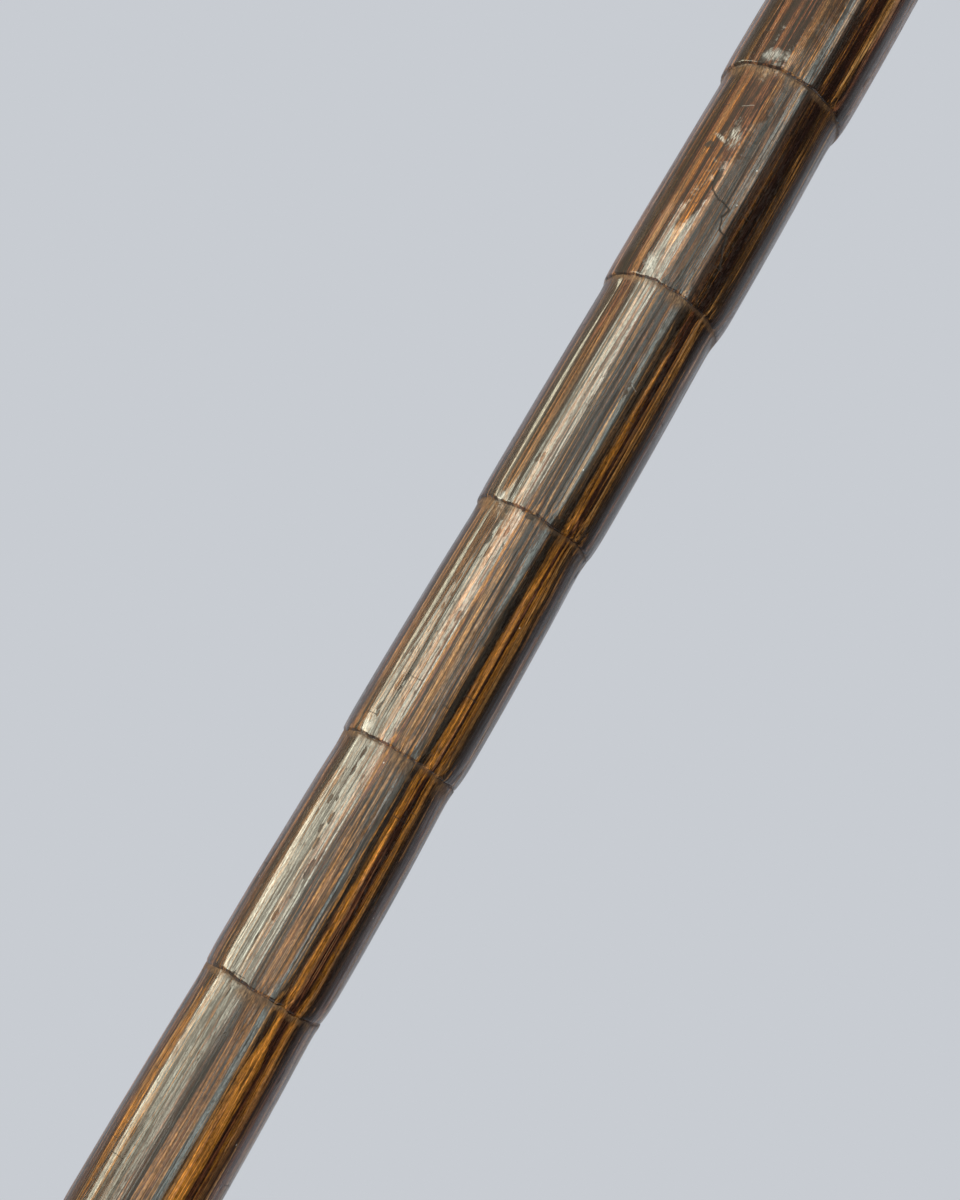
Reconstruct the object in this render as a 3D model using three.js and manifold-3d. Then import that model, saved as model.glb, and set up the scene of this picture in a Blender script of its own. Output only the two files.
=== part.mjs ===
// A walking cane: a palm wood shaft carved into nested segments, a carved handle, a cast brass
// collar, and a brass ferrule with a rubber tip.
//
// Millimetres. +Z runs up the shaft, the origin is the centre of the rubber tip's flat underside,
// and the handle lies along X with its nose towards +X.

import * as THREE from "three";
import { mergeVertices } from "three/addons/utils/BufferGeometryUtils.js";
import Module from "manifold-3d";

const wasm = await Module();
wasm.setup();

// Overall
const caneHeight = 915; // floor to the crown of the handle
const seatGap = 0.3; // clearance between pieces that seat on each other

// Carved segments of the shaft, from the handle end down: each flares from its neck to its lip
const upperLengths = [50.0, 49.4, 50.1, 48.9, 46.9, 48.0];
const upperNeckDiameters = [25.8, 24.6, 23.6, 22.6, 22.3, 22.4];
const upperLipDiameters = [26.6, 25.2, 24.1, 23.7, 23.5, 23.4];
const lowerSegmentCount = 10; // they share the rest of the shaft's length
const lowestLipDiameter = 20.8; // the lower lips shrink evenly to this one
const lowerNeckStep = 0.55; // how far a lower segment's neck lies inside its own lip
const lipEdgeLength = 2.4; // rounded edge at the lower end of each lip
const lipEdgeDrop = 0.3; // how far that edge turns in
const stepLength = 0.6; // slope from the lip's edge down to the next neck
const flareShare = 0.72; // share of a segment over which it widens from neck to lip

// Joint between shaft and handle
const studDiameter = 8;
const studDepthInShaft = 52;
const studDepthInHandle = 24;
const studChamfer = 0.8;
const bushDiameter = 12.4;
const bushLength = 24;
const handlePinDiameter = 3;
const handlePinHeight = 11; // above the handle's flat foot
const handlePinProud = 0.4; // how far the pin's ends stand out of the wood

// Collar and spacer ring
const collarHeight = 22;
const collarWall = 2.2;
const collarBeadWidth = 4.6;
const collarBeadProud = 1.1;
const collarPinDiameter = 2.2;
const collarPinDepth = 3.4; // into the wood
const pinProud = 0.3; // how far a small pin's head stands out of the brass
const spacerThickness = 4;
const spacerBulge = 0.7;

// Handle
const handleFootProud = 0.4; // how far the handle's foot stands out beyond the collar's sleeve
const noseLength = 46; // from the shaft's axis to the nose
const heelLength = 82; // from the shaft's axis to the heel
const noseDroop = 13;
const heelDroop = 12;
const gripHeight = 26;
const gripWidth = 27;
const gripTaper = 0.16; // share of the section lost towards the ends
const gripEndPower = 11; // how squarely the ends are rounded
const gripEndFace = 0.35; // share of the full section at the flat middle of each end
const throatHeight = 27; // from the handle's foot to the underside of the grip
const throatWaist = 1.0; // how far the neck of the handle narrows above its foot
const throatSpread = 15; // how far the neck flares along the grip where it meets it

// Ferrule and its fixings
const ferruleInset = 0.2; // how far the ferrule lies inside the lowest lip
const ferruleWall = 0.9;
const ferruleHeight = 50;
const ferruleFloor = 3;
const ferruleLipHeight = 2.4;
const ferruleLipProud = 0.5;
const ferrulePinDiameter = 2;
const ferrulePinDepth = 4;
const ferrulePinDrop = 6.5; // below the ferrule's top
const screwDiameter = 4;
const screwHeadDiameter = 8;
const screwHeadHeight = 2.2;
const screwLength = 26;

// Rubber tip
const tipSoleThickness = 9; // under the washer
const tipWasherThickness = 1.6;
const tipWasherHole = 6;
const tipHeight = 39;
const tipMouthWall = 2.5;
const tipBodyWall = 3.5;
const tipFootProud = 3.5; // how far the foot stands out beyond the body
const tipFootHeight = 6;
const tipFootSlope = 6; // height over which the foot draws in to the body
const tipEdge = 1.2; // chamfer round the foot
const tipBeadHeight = 3.2;
const tipBeadProud = 0.9;
const tipGrooveCount = 3; // grooves round the body
const tipGroovePitch = 4.2;
const tipGrooveWidth = 1.5;
const tipGrooveDepth = 0.8;
const treadGrooveCount = 3; // grooves in the sole
const treadGrooveWidth = 1.6;
const treadGrooveDepth = 1.4;
const treadBossDiameter = 9; // flat middle of the sole

// Facets
const roundSides = 32;
const pinSides = 12;
const gripSides = 20; // a multiple of four, so that the crown is a corner
const gripStations = 23; // an odd number, so that one lies on the shaft's axis
const throatStations = 8;
const weldDistance = 1e-4;

const palmWood = new THREE.MeshStandardMaterial({ color: 0x5a3317, roughness: 0.28, metalness: 0 });
const handleWood = new THREE.MeshStandardMaterial({ color: 0x63391a, roughness: 0.3, metalness: 0 });
const castBrass = new THREE.MeshStandardMaterial({ color: 0xa9823f, roughness: 0.35, metalness: 1 });
const pinBrass = new THREE.MeshStandardMaterial({ color: 0xb98f46, roughness: 0.3, metalness: 1 });
const steel = new THREE.MeshStandardMaterial({ color: 0x8c8f92, roughness: 0.35, metalness: 1 });
const horn = new THREE.MeshStandardMaterial({ color: 0x1d1815, roughness: 0.3, metalness: 0 });
const rubber = new THREE.MeshStandardMaterial({ color: 0x1b1b1c, roughness: 0.75, metalness: 0 });

/** A closed solid from a three.js geometry whose corners are welded. */
function solidOf(geometry) {
  const bare = geometry.clone();
  bare.deleteAttribute("normal");
  bare.deleteAttribute("uv");
  const welded = mergeVertices(bare, weldDistance);
  const corners = welded.index.array;
  const triangles = [];
  for (let start = 0; start < corners.length; start += 3) {
    const [a, b, c] = corners.slice(start, start + 3);
    if (a !== b && b !== c && c !== a) {
      triangles.push(a, b, c);
    }
  }
  const vertProperties = new Float32Array(welded.attributes.position.array);
  const triVerts = new Uint32Array(triangles);
  return new wasm.Manifold(new wasm.Mesh({ numProp: 3, vertProperties, triVerts }));
}

/** A named mesh from a solid. */
function pieceOf(name, solid, material) {
  const { vertProperties, triVerts } = solid.getMesh();
  const geometry = new THREE.BufferGeometry();
  geometry.setAttribute("position", new THREE.BufferAttribute(vertProperties, 3));
  geometry.setIndex(new THREE.BufferAttribute(triVerts, 1));
  geometry.computeVertexNormals();
  const mesh = new THREE.Mesh(geometry, material.clone());
  mesh.name = name;
  return mesh;
}

/**
 * A solid turned round +Z. The profile holds [radius, height] points, going up the outside; it
 * starts and ends on the axis, or comes back to its first point.
 */
function turned(profile, sides = roundSides) {
  const points = profile.map(([radius, height]) => new THREE.Vector2(radius, height));
  return solidOf(new THREE.LatheGeometry(points, sides).rotateX(Math.PI / 2));
}

/** A turned sleeve or ring whose profile closes on its first point. */
function turnedRing(profile, sides = roundSides) {
  return turned([...profile, profile[0]], sides);
}

/** A round rod between two points. */
function rod(start, end, diameter, sides = pinSides) {
  const along = new THREE.Vector3().subVectors(end, start);
  const turn = new THREE.Quaternion().setFromUnitVectors(
    new THREE.Vector3(0, 1, 0),
    along.clone().normalize(),
  );
  const geometry = new THREE.CylinderGeometry(diameter / 2, diameter / 2, along.length(), sides);
  const middle = new THREE.Vector3().addVectors(start, end).multiplyScalar(0.5);
  return solidOf(geometry.applyQuaternion(turn).translate(middle.x, middle.y, middle.z));
}

/** A solid skinned over a row of rings that all have the same number of points. */
function skinned(rings) {
  const count = rings[0].length;
  const positions = [];
  const index = [];
  rings.flat().forEach((point) => positions.push(point.x, point.y, point.z));
  for (let ring = 0; ring + 1 < rings.length; ring += 1) {
    for (let corner = 0; corner < count; corner += 1) {
      const next = (corner + 1) % count;
      const a = ring * count + corner;
      const b = ring * count + next;
      index.push(a, b, a + count, b, b + count, a + count);
    }
  }
  const capMiddle = (ring) => {
    const middle = new THREE.Vector3();
    ring.forEach((point) => middle.addScaledVector(point, 1 / count));
    positions.push(middle.x, middle.y, middle.z);
    return positions.length / 3 - 1;
  };
  const first = capMiddle(rings[0]);
  const last = capMiddle(rings[rings.length - 1]);
  const lastRing = (rings.length - 1) * count;
  for (let corner = 0; corner < count; corner += 1) {
    const next = (corner + 1) % count;
    index.push(first, next, corner);
    index.push(last, lastRing + corner, lastRing + next);
  }
  const geometry = new THREE.BufferGeometry();
  geometry.setAttribute("position", new THREE.Float32BufferAttribute(positions, 3));
  geometry.setIndex(index);
  return solidOf(geometry);
}

/** Points of an ellipse round a centre, in the plane of two unit vectors. */
function ellipse(centre, sideways, halfWidth, upwards, halfHeight) {
  return Array.from({ length: gripSides }, (_, corner) => {
    const angle = (corner / gripSides) * 2 * Math.PI;
    return centre
      .clone()
      .addScaledVector(sideways, halfWidth * Math.cos(angle))
      .addScaledVector(upwards, halfHeight * Math.sin(angle));
  });
}

const axisX = new THREE.Vector3(1, 0, 0);
const axisY = new THREE.Vector3(0, 1, 0);
const axisZ = new THREE.Vector3(0, 0, 1);

// Heights that the pieces share, from the floor up
const washerTop = tipSoleThickness + seatGap + tipWasherThickness;
const ferruleBottom = washerTop + seatGap;
const ferruleTop = ferruleBottom + ferruleHeight;
const shaftBottom = ferruleBottom + ferruleFloor + seatGap;
const carvingBottom = ferruleTop + seatGap;
const gripCrownZ = caneHeight - gripHeight / 2;
const handleBottom = caneHeight - gripHeight - throatHeight;
const spacerBottom = handleBottom - seatGap - spacerThickness;
const collarTop = spacerBottom - seatGap;
const collarBottom = collarTop - collarHeight;
const carvingTop = collarBottom - seatGap;
const shaftTop = collarTop;

// Diameters that the pieces share
const ferruleDiameter = lowestLipDiameter - 2 * ferruleInset;
const ferruleBore = ferruleDiameter - 2 * ferruleWall;
const bottomTenonDiameter = ferruleBore - 2 * seatGap;
const collarDiameter = upperNeckDiameters[0] + 2 * seatGap;
const collarBore = collarDiameter - 2 * collarWall;
const topTenonDiameter = collarBore - 2 * seatGap;
const handleFootDiameter = collarDiameter + 2 * handleFootProud;
const studBore = studDiameter + 2 * seatGap;
const bushBore = bushDiameter + 2 * seatGap;
const bushTop = shaftTop - seatGap;
const bushBottom = bushTop - bushLength;
const studBottom = shaftTop - studDepthInShaft;
const studTop = handleBottom + studDepthInHandle;
const handlePinZ = handleBottom + handlePinHeight;
const collarPinZ = (collarBottom + collarTop) / 2;
const ferrulePinZ = ferruleTop - ferrulePinDrop;
const tipBore = ferruleDiameter + 2 * seatGap;
const tipBodyRadius = tipBore / 2 + tipBodyWall;
const tipFootRadius = tipBodyRadius + tipFootProud;

/** All carved segments from the handle end down, with the height of each one's upper end. */
function carvedSegments() {
  const segments = upperLengths.map((length, which) => ({
    length,
    neckDiameter: upperNeckDiameters[which],
    lipDiameter: upperLipDiameters[which],
  }));
  const upperLength = upperLengths.reduce((sum, length) => sum + length, 0);
  const length = (carvingTop - carvingBottom - upperLength) / lowerSegmentCount;
  const lastUpperLip = upperLipDiameters[upperLipDiameters.length - 1];
  for (let lower = 1; lower <= lowerSegmentCount; lower += 1) {
    const share = lower / lowerSegmentCount;
    const lipDiameter = THREE.MathUtils.lerp(lastUpperLip, lowestLipDiameter, share);
    segments.push({ length, lipDiameter, neckDiameter: lipDiameter - 2 * lowerNeckStep });
  }
  let top = carvingTop;
  return segments.map((segment) => {
    const placed = { ...segment, top };
    top -= segment.length;
    return placed;
  });
}

/** Outline of one segment from its lip up to its neck. */
function segmentOutline({ top, length, neckDiameter, lipDiameter }) {
  const bottom = top - length;
  const neck = neckDiameter / 2;
  const lip = lipDiameter / 2;
  const widening = (share) => neck + (lip - neck) * Math.sin((share * Math.PI) / 2);
  const flare = (share) => [widening(share), top - share * flareShare * length];
  return [
    [lip - lipEdgeDrop, bottom + stepLength / 2],
    [lip - lipEdgeDrop / 4, bottom + lipEdgeLength / 2],
    [lip, bottom + lipEdgeLength],
    flare(1),
    flare(1 / 2),
    [neck, top - stepLength / 2],
  ];
}

/** Outline of a rounded bead that stands out of a wall, from its lower end up. */
function beadOutline(wallRadius, proud, bottom, height) {
  return [
    [wallRadius, bottom],
    [wallRadius + proud, bottom + height / 4],
    [wallRadius + proud, bottom + (height * 3) / 4],
    [wallRadius, bottom + height],
  ];
}

/** The carved shaft with its tenons, bores and pin holes. */
function buildShaft() {
  const pilot = screwDiameter / 2 + seatGap;
  const pilotTop = ferruleBottom + screwLength + seatGap;
  const outline = [
    [0, pilotTop],
    [pilot, pilotTop],
    [pilot, shaftBottom],
    [bottomTenonDiameter / 2, shaftBottom],
    [bottomTenonDiameter / 2, carvingBottom],
    ...carvedSegments().reverse().flatMap(segmentOutline),
    [upperNeckDiameters[0] / 2, carvingTop],
    [topTenonDiameter / 2, carvingTop],
    [topTenonDiameter / 2, shaftTop],
    [bushBore / 2, shaftTop],
    [bushBore / 2, bushBottom - seatGap],
    [studBore / 2, bushBottom - seatGap],
    [studBore / 2, studBottom - seatGap],
    [0, studBottom - seatGap],
  ];
  const holes = [
    ...collarPinEnds().map(([inner, outer]) => pinHole(inner, outer, collarPinDiameter)),
    ...ferrulePinEnds().map(([inner, outer]) => pinHole(inner, outer, ferrulePinDiameter)),
  ];
  return holes.reduce((solid, hole) => solid.subtract(hole), turned(outline));
}

/** Inner and outer ends of the two collar pins, left and right. */
function collarPinEnds() {
  const outer = collarDiameter / 2 + pinProud;
  const inner = topTenonDiameter / 2 - collarPinDepth;
  return [-1, 1].map((side) => [
    new THREE.Vector3(side * inner, 0, collarPinZ),
    new THREE.Vector3(side * outer, 0, collarPinZ),
  ]);
}

/** Inner and outer ends of the two ferrule pins, front and back. */
function ferrulePinEnds() {
  const outer = ferruleDiameter / 2 + pinProud;
  const inner = bottomTenonDiameter / 2 - ferrulePinDepth;
  return [-1, 1].map((side) => [
    new THREE.Vector3(0, side * inner, ferrulePinZ),
    new THREE.Vector3(0, side * outer, ferrulePinZ),
  ]);
}

/** The hole for a pin, a clearance wider and deeper than the pin, and open at its outer end. */
function pinHole(inner, outer, diameter) {
  const outwards = new THREE.Vector3().subVectors(outer, inner).normalize();
  const start = inner.clone().addScaledVector(outwards, -seatGap);
  const end = outer.clone().addScaledVector(outwards, diameter);
  return rod(start, end, diameter + 2 * seatGap);
}

/** The cast collar: a sleeve with a bead at both ends and a hole for each pin. */
function buildCollar() {
  const wall = collarDiameter / 2;
  const sleeve = turnedRing([
    [collarBore / 2, collarBottom],
    ...beadOutline(wall, collarBeadProud, collarBottom, collarBeadWidth),
    ...beadOutline(wall, collarBeadProud, collarTop - collarBeadWidth, collarBeadWidth),
    [collarBore / 2, collarTop],
  ]);
  return collarPinEnds().reduce(
    (solid, [inner, outer]) => solid.subtract(pinHole(inner, outer, collarPinDiameter)),
    sleeve,
  );
}

/** The horn ring between collar and handle, bored for the stud. */
function buildSpacerRing() {
  return turnedRing([
    [studBore / 2, spacerBottom],
    ...beadOutline(handleFootDiameter / 2, spacerBulge, spacerBottom, spacerThickness),
    [studBore / 2, spacerBottom + spacerThickness],
  ]);
}

/** The brass bush that the stud screws into. */
function buildShaftBush() {
  return turnedRing([
    [studBore / 2, bushBottom],
    [bushDiameter / 2, bushBottom],
    [bushDiameter / 2, bushTop],
    [studBore / 2, bushTop],
  ]);
}

/** The cross hole that the handle pin needs. */
function handlePinHole() {
  const reach = gripWidth;
  const start = new THREE.Vector3(0, -reach, handlePinZ);
  const end = new THREE.Vector3(0, reach, handlePinZ);
  return rod(start, end, handlePinDiameter + 2 * seatGap);
}

/** The stud between shaft and handle, with chamfered ends and its cross hole. */
function buildHandleStud() {
  const radius = studDiameter / 2;
  const stud = turned([
    [0, studBottom],
    [radius - studChamfer, studBottom],
    [radius, studBottom + studChamfer],
    [radius, studTop - studChamfer],
    [radius - studChamfer, studTop],
    [0, studTop],
  ]);
  return stud.subtract(handlePinHole());
}

/** Half the width of the handle's neck at a height above its foot, as a share from 0 to 1. */
function throatHalfWidth(share) {
  const waist = throatWaist * Math.sin(share * Math.PI);
  return THREE.MathUtils.lerp(handleFootDiameter / 2, gripWidth / 2 - throatWaist, share) - waist;
}

/** The neck of the handle: round at its foot and flaring along the grip where it meets it. */
function throatRings() {
  return Array.from({ length: throatStations }, (_, station) => {
    const share = station / (throatStations - 1);
    const centre = new THREE.Vector3(0, 0, handleBottom + share * (throatHeight + gripHeight / 4));
    const halfWidth = throatHalfWidth(share);
    return ellipse(centre, axisX, halfWidth + throatSpread * share ** 3, axisY, halfWidth);
  });
}

/** The grip: an arched bar of oval section, with rounded nose and heel. */
function gripRings() {
  return Array.from({ length: gripStations }, (_, station) => {
    const turn = (1 - station / (gripStations - 1)) * Math.PI;
    const along = Math.cos(turn);
    const reach = along > 0 ? noseLength : heelLength;
    const droop = along > 0 ? noseDroop : heelDroop;
    const rounding = Math.sqrt(1 - Math.abs(along) ** gripEndPower * (1 - gripEndFace ** 2));
    const size = (1 - gripTaper * along ** 2) * rounding;
    const centre = new THREE.Vector3(along * reach, 0, gripCrownZ - droop * along ** 2);
    const slope = new THREE.Vector3(reach, 0, -2 * droop * along).normalize();
    const upwards = new THREE.Vector3().crossVectors(slope, axisY);
    return ellipse(centre, axisY, (size * gripWidth) / 2, upwards, (size * gripHeight) / 2);
  });
}

/** The carved handle, bored for the stud and the cross pin. */
function buildHandle() {
  const boreBottom = new THREE.Vector3(0, 0, handleBottom - studDiameter);
  const boreTop = new THREE.Vector3(0, 0, studTop + seatGap);
  return skinned(gripRings())
    .add(skinned(throatRings()))
    .subtract(rod(boreBottom, boreTop, studBore, roundSides))
    .subtract(handlePinHole());
}

/** The pin across the handle and the stud. */
function buildHandlePin() {
  const share = handlePinHeight / (throatHeight + gripHeight / 4);
  const half = throatHalfWidth(share) + handlePinProud;
  const start = new THREE.Vector3(0, -half, handlePinZ);
  const end = new THREE.Vector3(0, half, handlePinZ);
  return rod(start, end, handlePinDiameter);
}

/** The ferrule: a brass cup with a rolled lip, a countersunk floor and two pin holes. */
function buildFerrule() {
  const outer = ferruleDiameter / 2;
  const inner = ferruleBore / 2;
  const floorTop = ferruleBottom + ferruleFloor;
  const shank = screwDiameter / 2 + seatGap;
  const head = screwHeadDiameter / 2 + seatGap;
  const cup = turnedRing([
    [head, ferruleBottom],
    [outer, ferruleBottom],
    ...beadOutline(outer, ferruleLipProud, ferruleTop - ferruleLipHeight, ferruleLipHeight),
    [inner, ferruleTop],
    [inner, floorTop],
    [shank, floorTop],
    [shank, ferruleBottom + screwHeadHeight + seatGap],
  ]);
  return ferrulePinEnds().reduce(
    (solid, [start, end]) => solid.subtract(pinHole(start, end, ferrulePinDiameter)),
    cup,
  );
}

/** The countersunk screw that holds the ferrule's floor to the shaft. */
function buildFerruleScrew() {
  const radius = screwDiameter / 2;
  const top = ferruleBottom + screwLength;
  return turned([
    [0, ferruleBottom],
    [screwHeadDiameter / 2, ferruleBottom],
    [radius, ferruleBottom + screwHeadHeight],
    [radius, top - screwDiameter],
    [0, top],
  ]);
}

/** The steel washer inside the rubber tip. */
function buildTipWasher() {
  const bottom = tipSoleThickness + seatGap;
  return turnedRing([
    [tipWasherHole / 2, bottom],
    [ferruleDiameter / 2, bottom],
    [ferruleDiameter / 2, washerTop],
    [tipWasherHole / 2, washerTop],
  ]);
}

/** Round grooves in the flat sole, from the axis out. */
function treadOutline() {
  const middle = treadBossDiameter / 2;
  const pitch = (tipFootRadius - tipEdge - middle) / treadGrooveCount;
  return Array.from({ length: treadGrooveCount }, (_, groove) => {
    const inner = middle + groove * pitch;
    return [
      [inner, 0],
      [inner + treadGrooveWidth / 4, treadGrooveDepth],
      [inner + (treadGrooveWidth * 3) / 4, treadGrooveDepth],
      [inner + treadGrooveWidth, 0],
    ];
  }).flat();
}

/** Round grooves in the body of the rubber tip, from the lowest up. */
function bodyGrooveOutline() {
  const start = tipFootHeight + tipFootSlope + tipGroovePitch - tipGrooveWidth;
  return Array.from({ length: tipGrooveCount }, (_, groove) => {
    const bottom = start + groove * tipGroovePitch;
    return beadOutline(tipBodyRadius, -tipGrooveDepth, bottom, tipGrooveWidth);
  }).flat();
}

/** The rubber tip: a wide foot, a grooved body and a beaded mouth round the ferrule. */
function buildRubberTip() {
  const mouth = tipBore / 2 + tipMouthWall;
  return turned([
    [0, 0],
    ...treadOutline(),
    [tipFootRadius - tipEdge, 0],
    [tipFootRadius, tipEdge],
    [tipFootRadius, tipFootHeight],
    [(tipFootRadius + tipBodyRadius) / 2, tipFootHeight + tipFootSlope / 3],
    [tipBodyRadius, tipFootHeight + tipFootSlope],
    ...bodyGrooveOutline(),
    ...beadOutline(mouth, tipBeadProud, tipHeight - tipBeadHeight, tipBeadHeight),
    [tipBore / 2, tipHeight],
    [tipBore / 2, tipSoleThickness],
    [0, tipSoleThickness],
  ]);
}

const cane = new THREE.Group();
cane.add(
  pieceOf("shaft", buildShaft(), palmWood),
  pieceOf("handle", buildHandle(), handleWood),
  pieceOf("handle_stud", buildHandleStud(), steel),
  pieceOf("handle_pin", buildHandlePin(), pinBrass),
  pieceOf("shaft_bush", buildShaftBush(), pinBrass),
  pieceOf("spacer_ring", buildSpacerRing(), horn),
  pieceOf("collar", buildCollar(), castBrass),
  pieceOf("ferrule", buildFerrule(), castBrass),
  pieceOf("ferrule_screw", buildFerruleScrew(), steel),
  pieceOf("tip_washer", buildTipWasher(), steel),
  pieceOf("rubber_tip", buildRubberTip(), rubber),
);
["left", "right"].forEach((side, which) => {
  const [inner, outer] = collarPinEnds()[which];
  cane.add(pieceOf(`collar_pin_${side}`, rod(inner, outer, collarPinDiameter), pinBrass));
});
["front", "back"].forEach((side, which) => {
  const [inner, outer] = ferrulePinEnds()[which];
  cane.add(pieceOf(`ferrule_pin_${side}`, rod(inner, outer, ferrulePinDiameter), pinBrass));
});

export default cane;
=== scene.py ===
"""Looks of a carved walking cane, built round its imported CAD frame.

The shaft is one length of striped palm wood, carved into nested segments under a worn gloss varnish. An
arched grip of the same wood sits on a horn ring and a cast brass collar, and a brass ferrule with a rubber
tip ends the shaft. Every size comes from the CAD nodes or is named here, in metres unless its name says
otherwise.
"""

import logging
import math
from collections.abc import Callable
from dataclasses import dataclass
from enum import Enum
from functools import reduce

import bmesh
import bpy
import numpy as np
from mathutils import Matrix, Vector


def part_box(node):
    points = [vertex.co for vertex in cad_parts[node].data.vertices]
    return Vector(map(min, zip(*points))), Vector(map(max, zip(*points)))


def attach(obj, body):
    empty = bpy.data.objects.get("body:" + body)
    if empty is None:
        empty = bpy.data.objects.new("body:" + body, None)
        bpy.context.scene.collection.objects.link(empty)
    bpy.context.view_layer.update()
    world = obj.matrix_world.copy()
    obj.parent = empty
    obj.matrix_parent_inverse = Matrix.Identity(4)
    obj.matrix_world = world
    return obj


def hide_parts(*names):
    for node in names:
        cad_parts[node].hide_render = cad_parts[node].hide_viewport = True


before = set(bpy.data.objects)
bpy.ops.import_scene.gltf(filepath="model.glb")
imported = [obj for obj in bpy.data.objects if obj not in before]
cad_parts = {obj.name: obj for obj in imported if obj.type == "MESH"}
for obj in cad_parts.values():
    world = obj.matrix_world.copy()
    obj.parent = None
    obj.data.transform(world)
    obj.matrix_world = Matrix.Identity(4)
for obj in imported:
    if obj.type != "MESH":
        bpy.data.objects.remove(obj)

MM = 0.001
PER_METRE = 1000.0
MEAN = 0.5
WELD = 1e-6
ON_AXIS = 1e-7
TOUCH = 1e-8
STRAIGHT = 1e-11
SECTION_AZIMUTH = 31.0
FLOAT = "NodeSocketFloat"
VECTOR = "NodeSocketVector"
COLOR = "NodeSocketColor"
LOG = logging.getLogger("walking_cane")
Colour = tuple[float, float, float]
Stops = tuple[tuple[float, Colour], ...]
Point = tuple[float, float]
Points = tuple[Point, ...]


class Slot(str, Enum):
    """Material slots of the record."""

    PALM_WOOD = "palm_wood"
    HANDLE_WOOD = "handle_wood"
    CAST_BRASS = "cast_brass"
    PIN_BRASS = "pin_brass"
    STEEL = "steel"
    HORN = "horn"
    RUBBER = "rubber"


class Value:
    """A number, vector or colour in a node tree. Arithmetic with it adds Math nodes."""

    def __init__(self, net: "Net", socket: bpy.types.NodeSocket) -> None:
        """Takes the net and the socket that gives the value."""
        self.net, self.socket = net, socket

    def __add__(self, other: "Value | float") -> "Value":
        """Returns the sum."""
        return self.net.math("ADD", self, other)

    def __sub__(self, other: "Value | float") -> "Value":
        """Returns the difference."""
        return self.net.math("SUBTRACT", self, other)

    def __rsub__(self, other: float) -> "Value":
        """Returns a number less this value."""
        return self.net.math("SUBTRACT", other, self)

    def __mul__(self, other: "Value | float") -> "Value":
        """Returns the product."""
        return self.net.math("MULTIPLY", self, other)

    def __truediv__(self, other: "Value | float") -> "Value":
        """Returns the quotient."""
        return self.net.math("DIVIDE", self, other)

    def __abs__(self) -> "Value":
        """Returns the value without its sign."""
        return self.net.math("ABSOLUTE", self)

    def above(self, limit: "Value | float") -> "Value":
        """Returns 1 where the value is larger than the limit and 0 elsewhere."""
        return self.net.math("GREATER_THAN", self, limit)

    def span(
        self, low: float, high: float, out_low: float = 0.0, out_high: float = 1.0, smooth: bool = False
    ) -> "Value":
        """Moves the value from one range to another and holds it inside the new one.

        Args:
            low, high: the old range.
            out_low, out_high: the new range.
            smooth: whether it sets out and ends softly.

        Returns:
            The new value.
        """
        inputs = {0: self, 1: low, 2: high, 3: out_low, 4: out_high}
        kind = "SMOOTHSTEP" if smooth else "LINEAR"
        return self.net.add("ShaderNodeMapRange", inputs, interpolation_type=kind)

    def between(self, out_low: float, out_high: float) -> "Value":
        """Returns a share from 0 to 1 as a value between two others."""
        return self.span(0.0, 1.0, out_low, out_high)


Operand = Value | float


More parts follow.
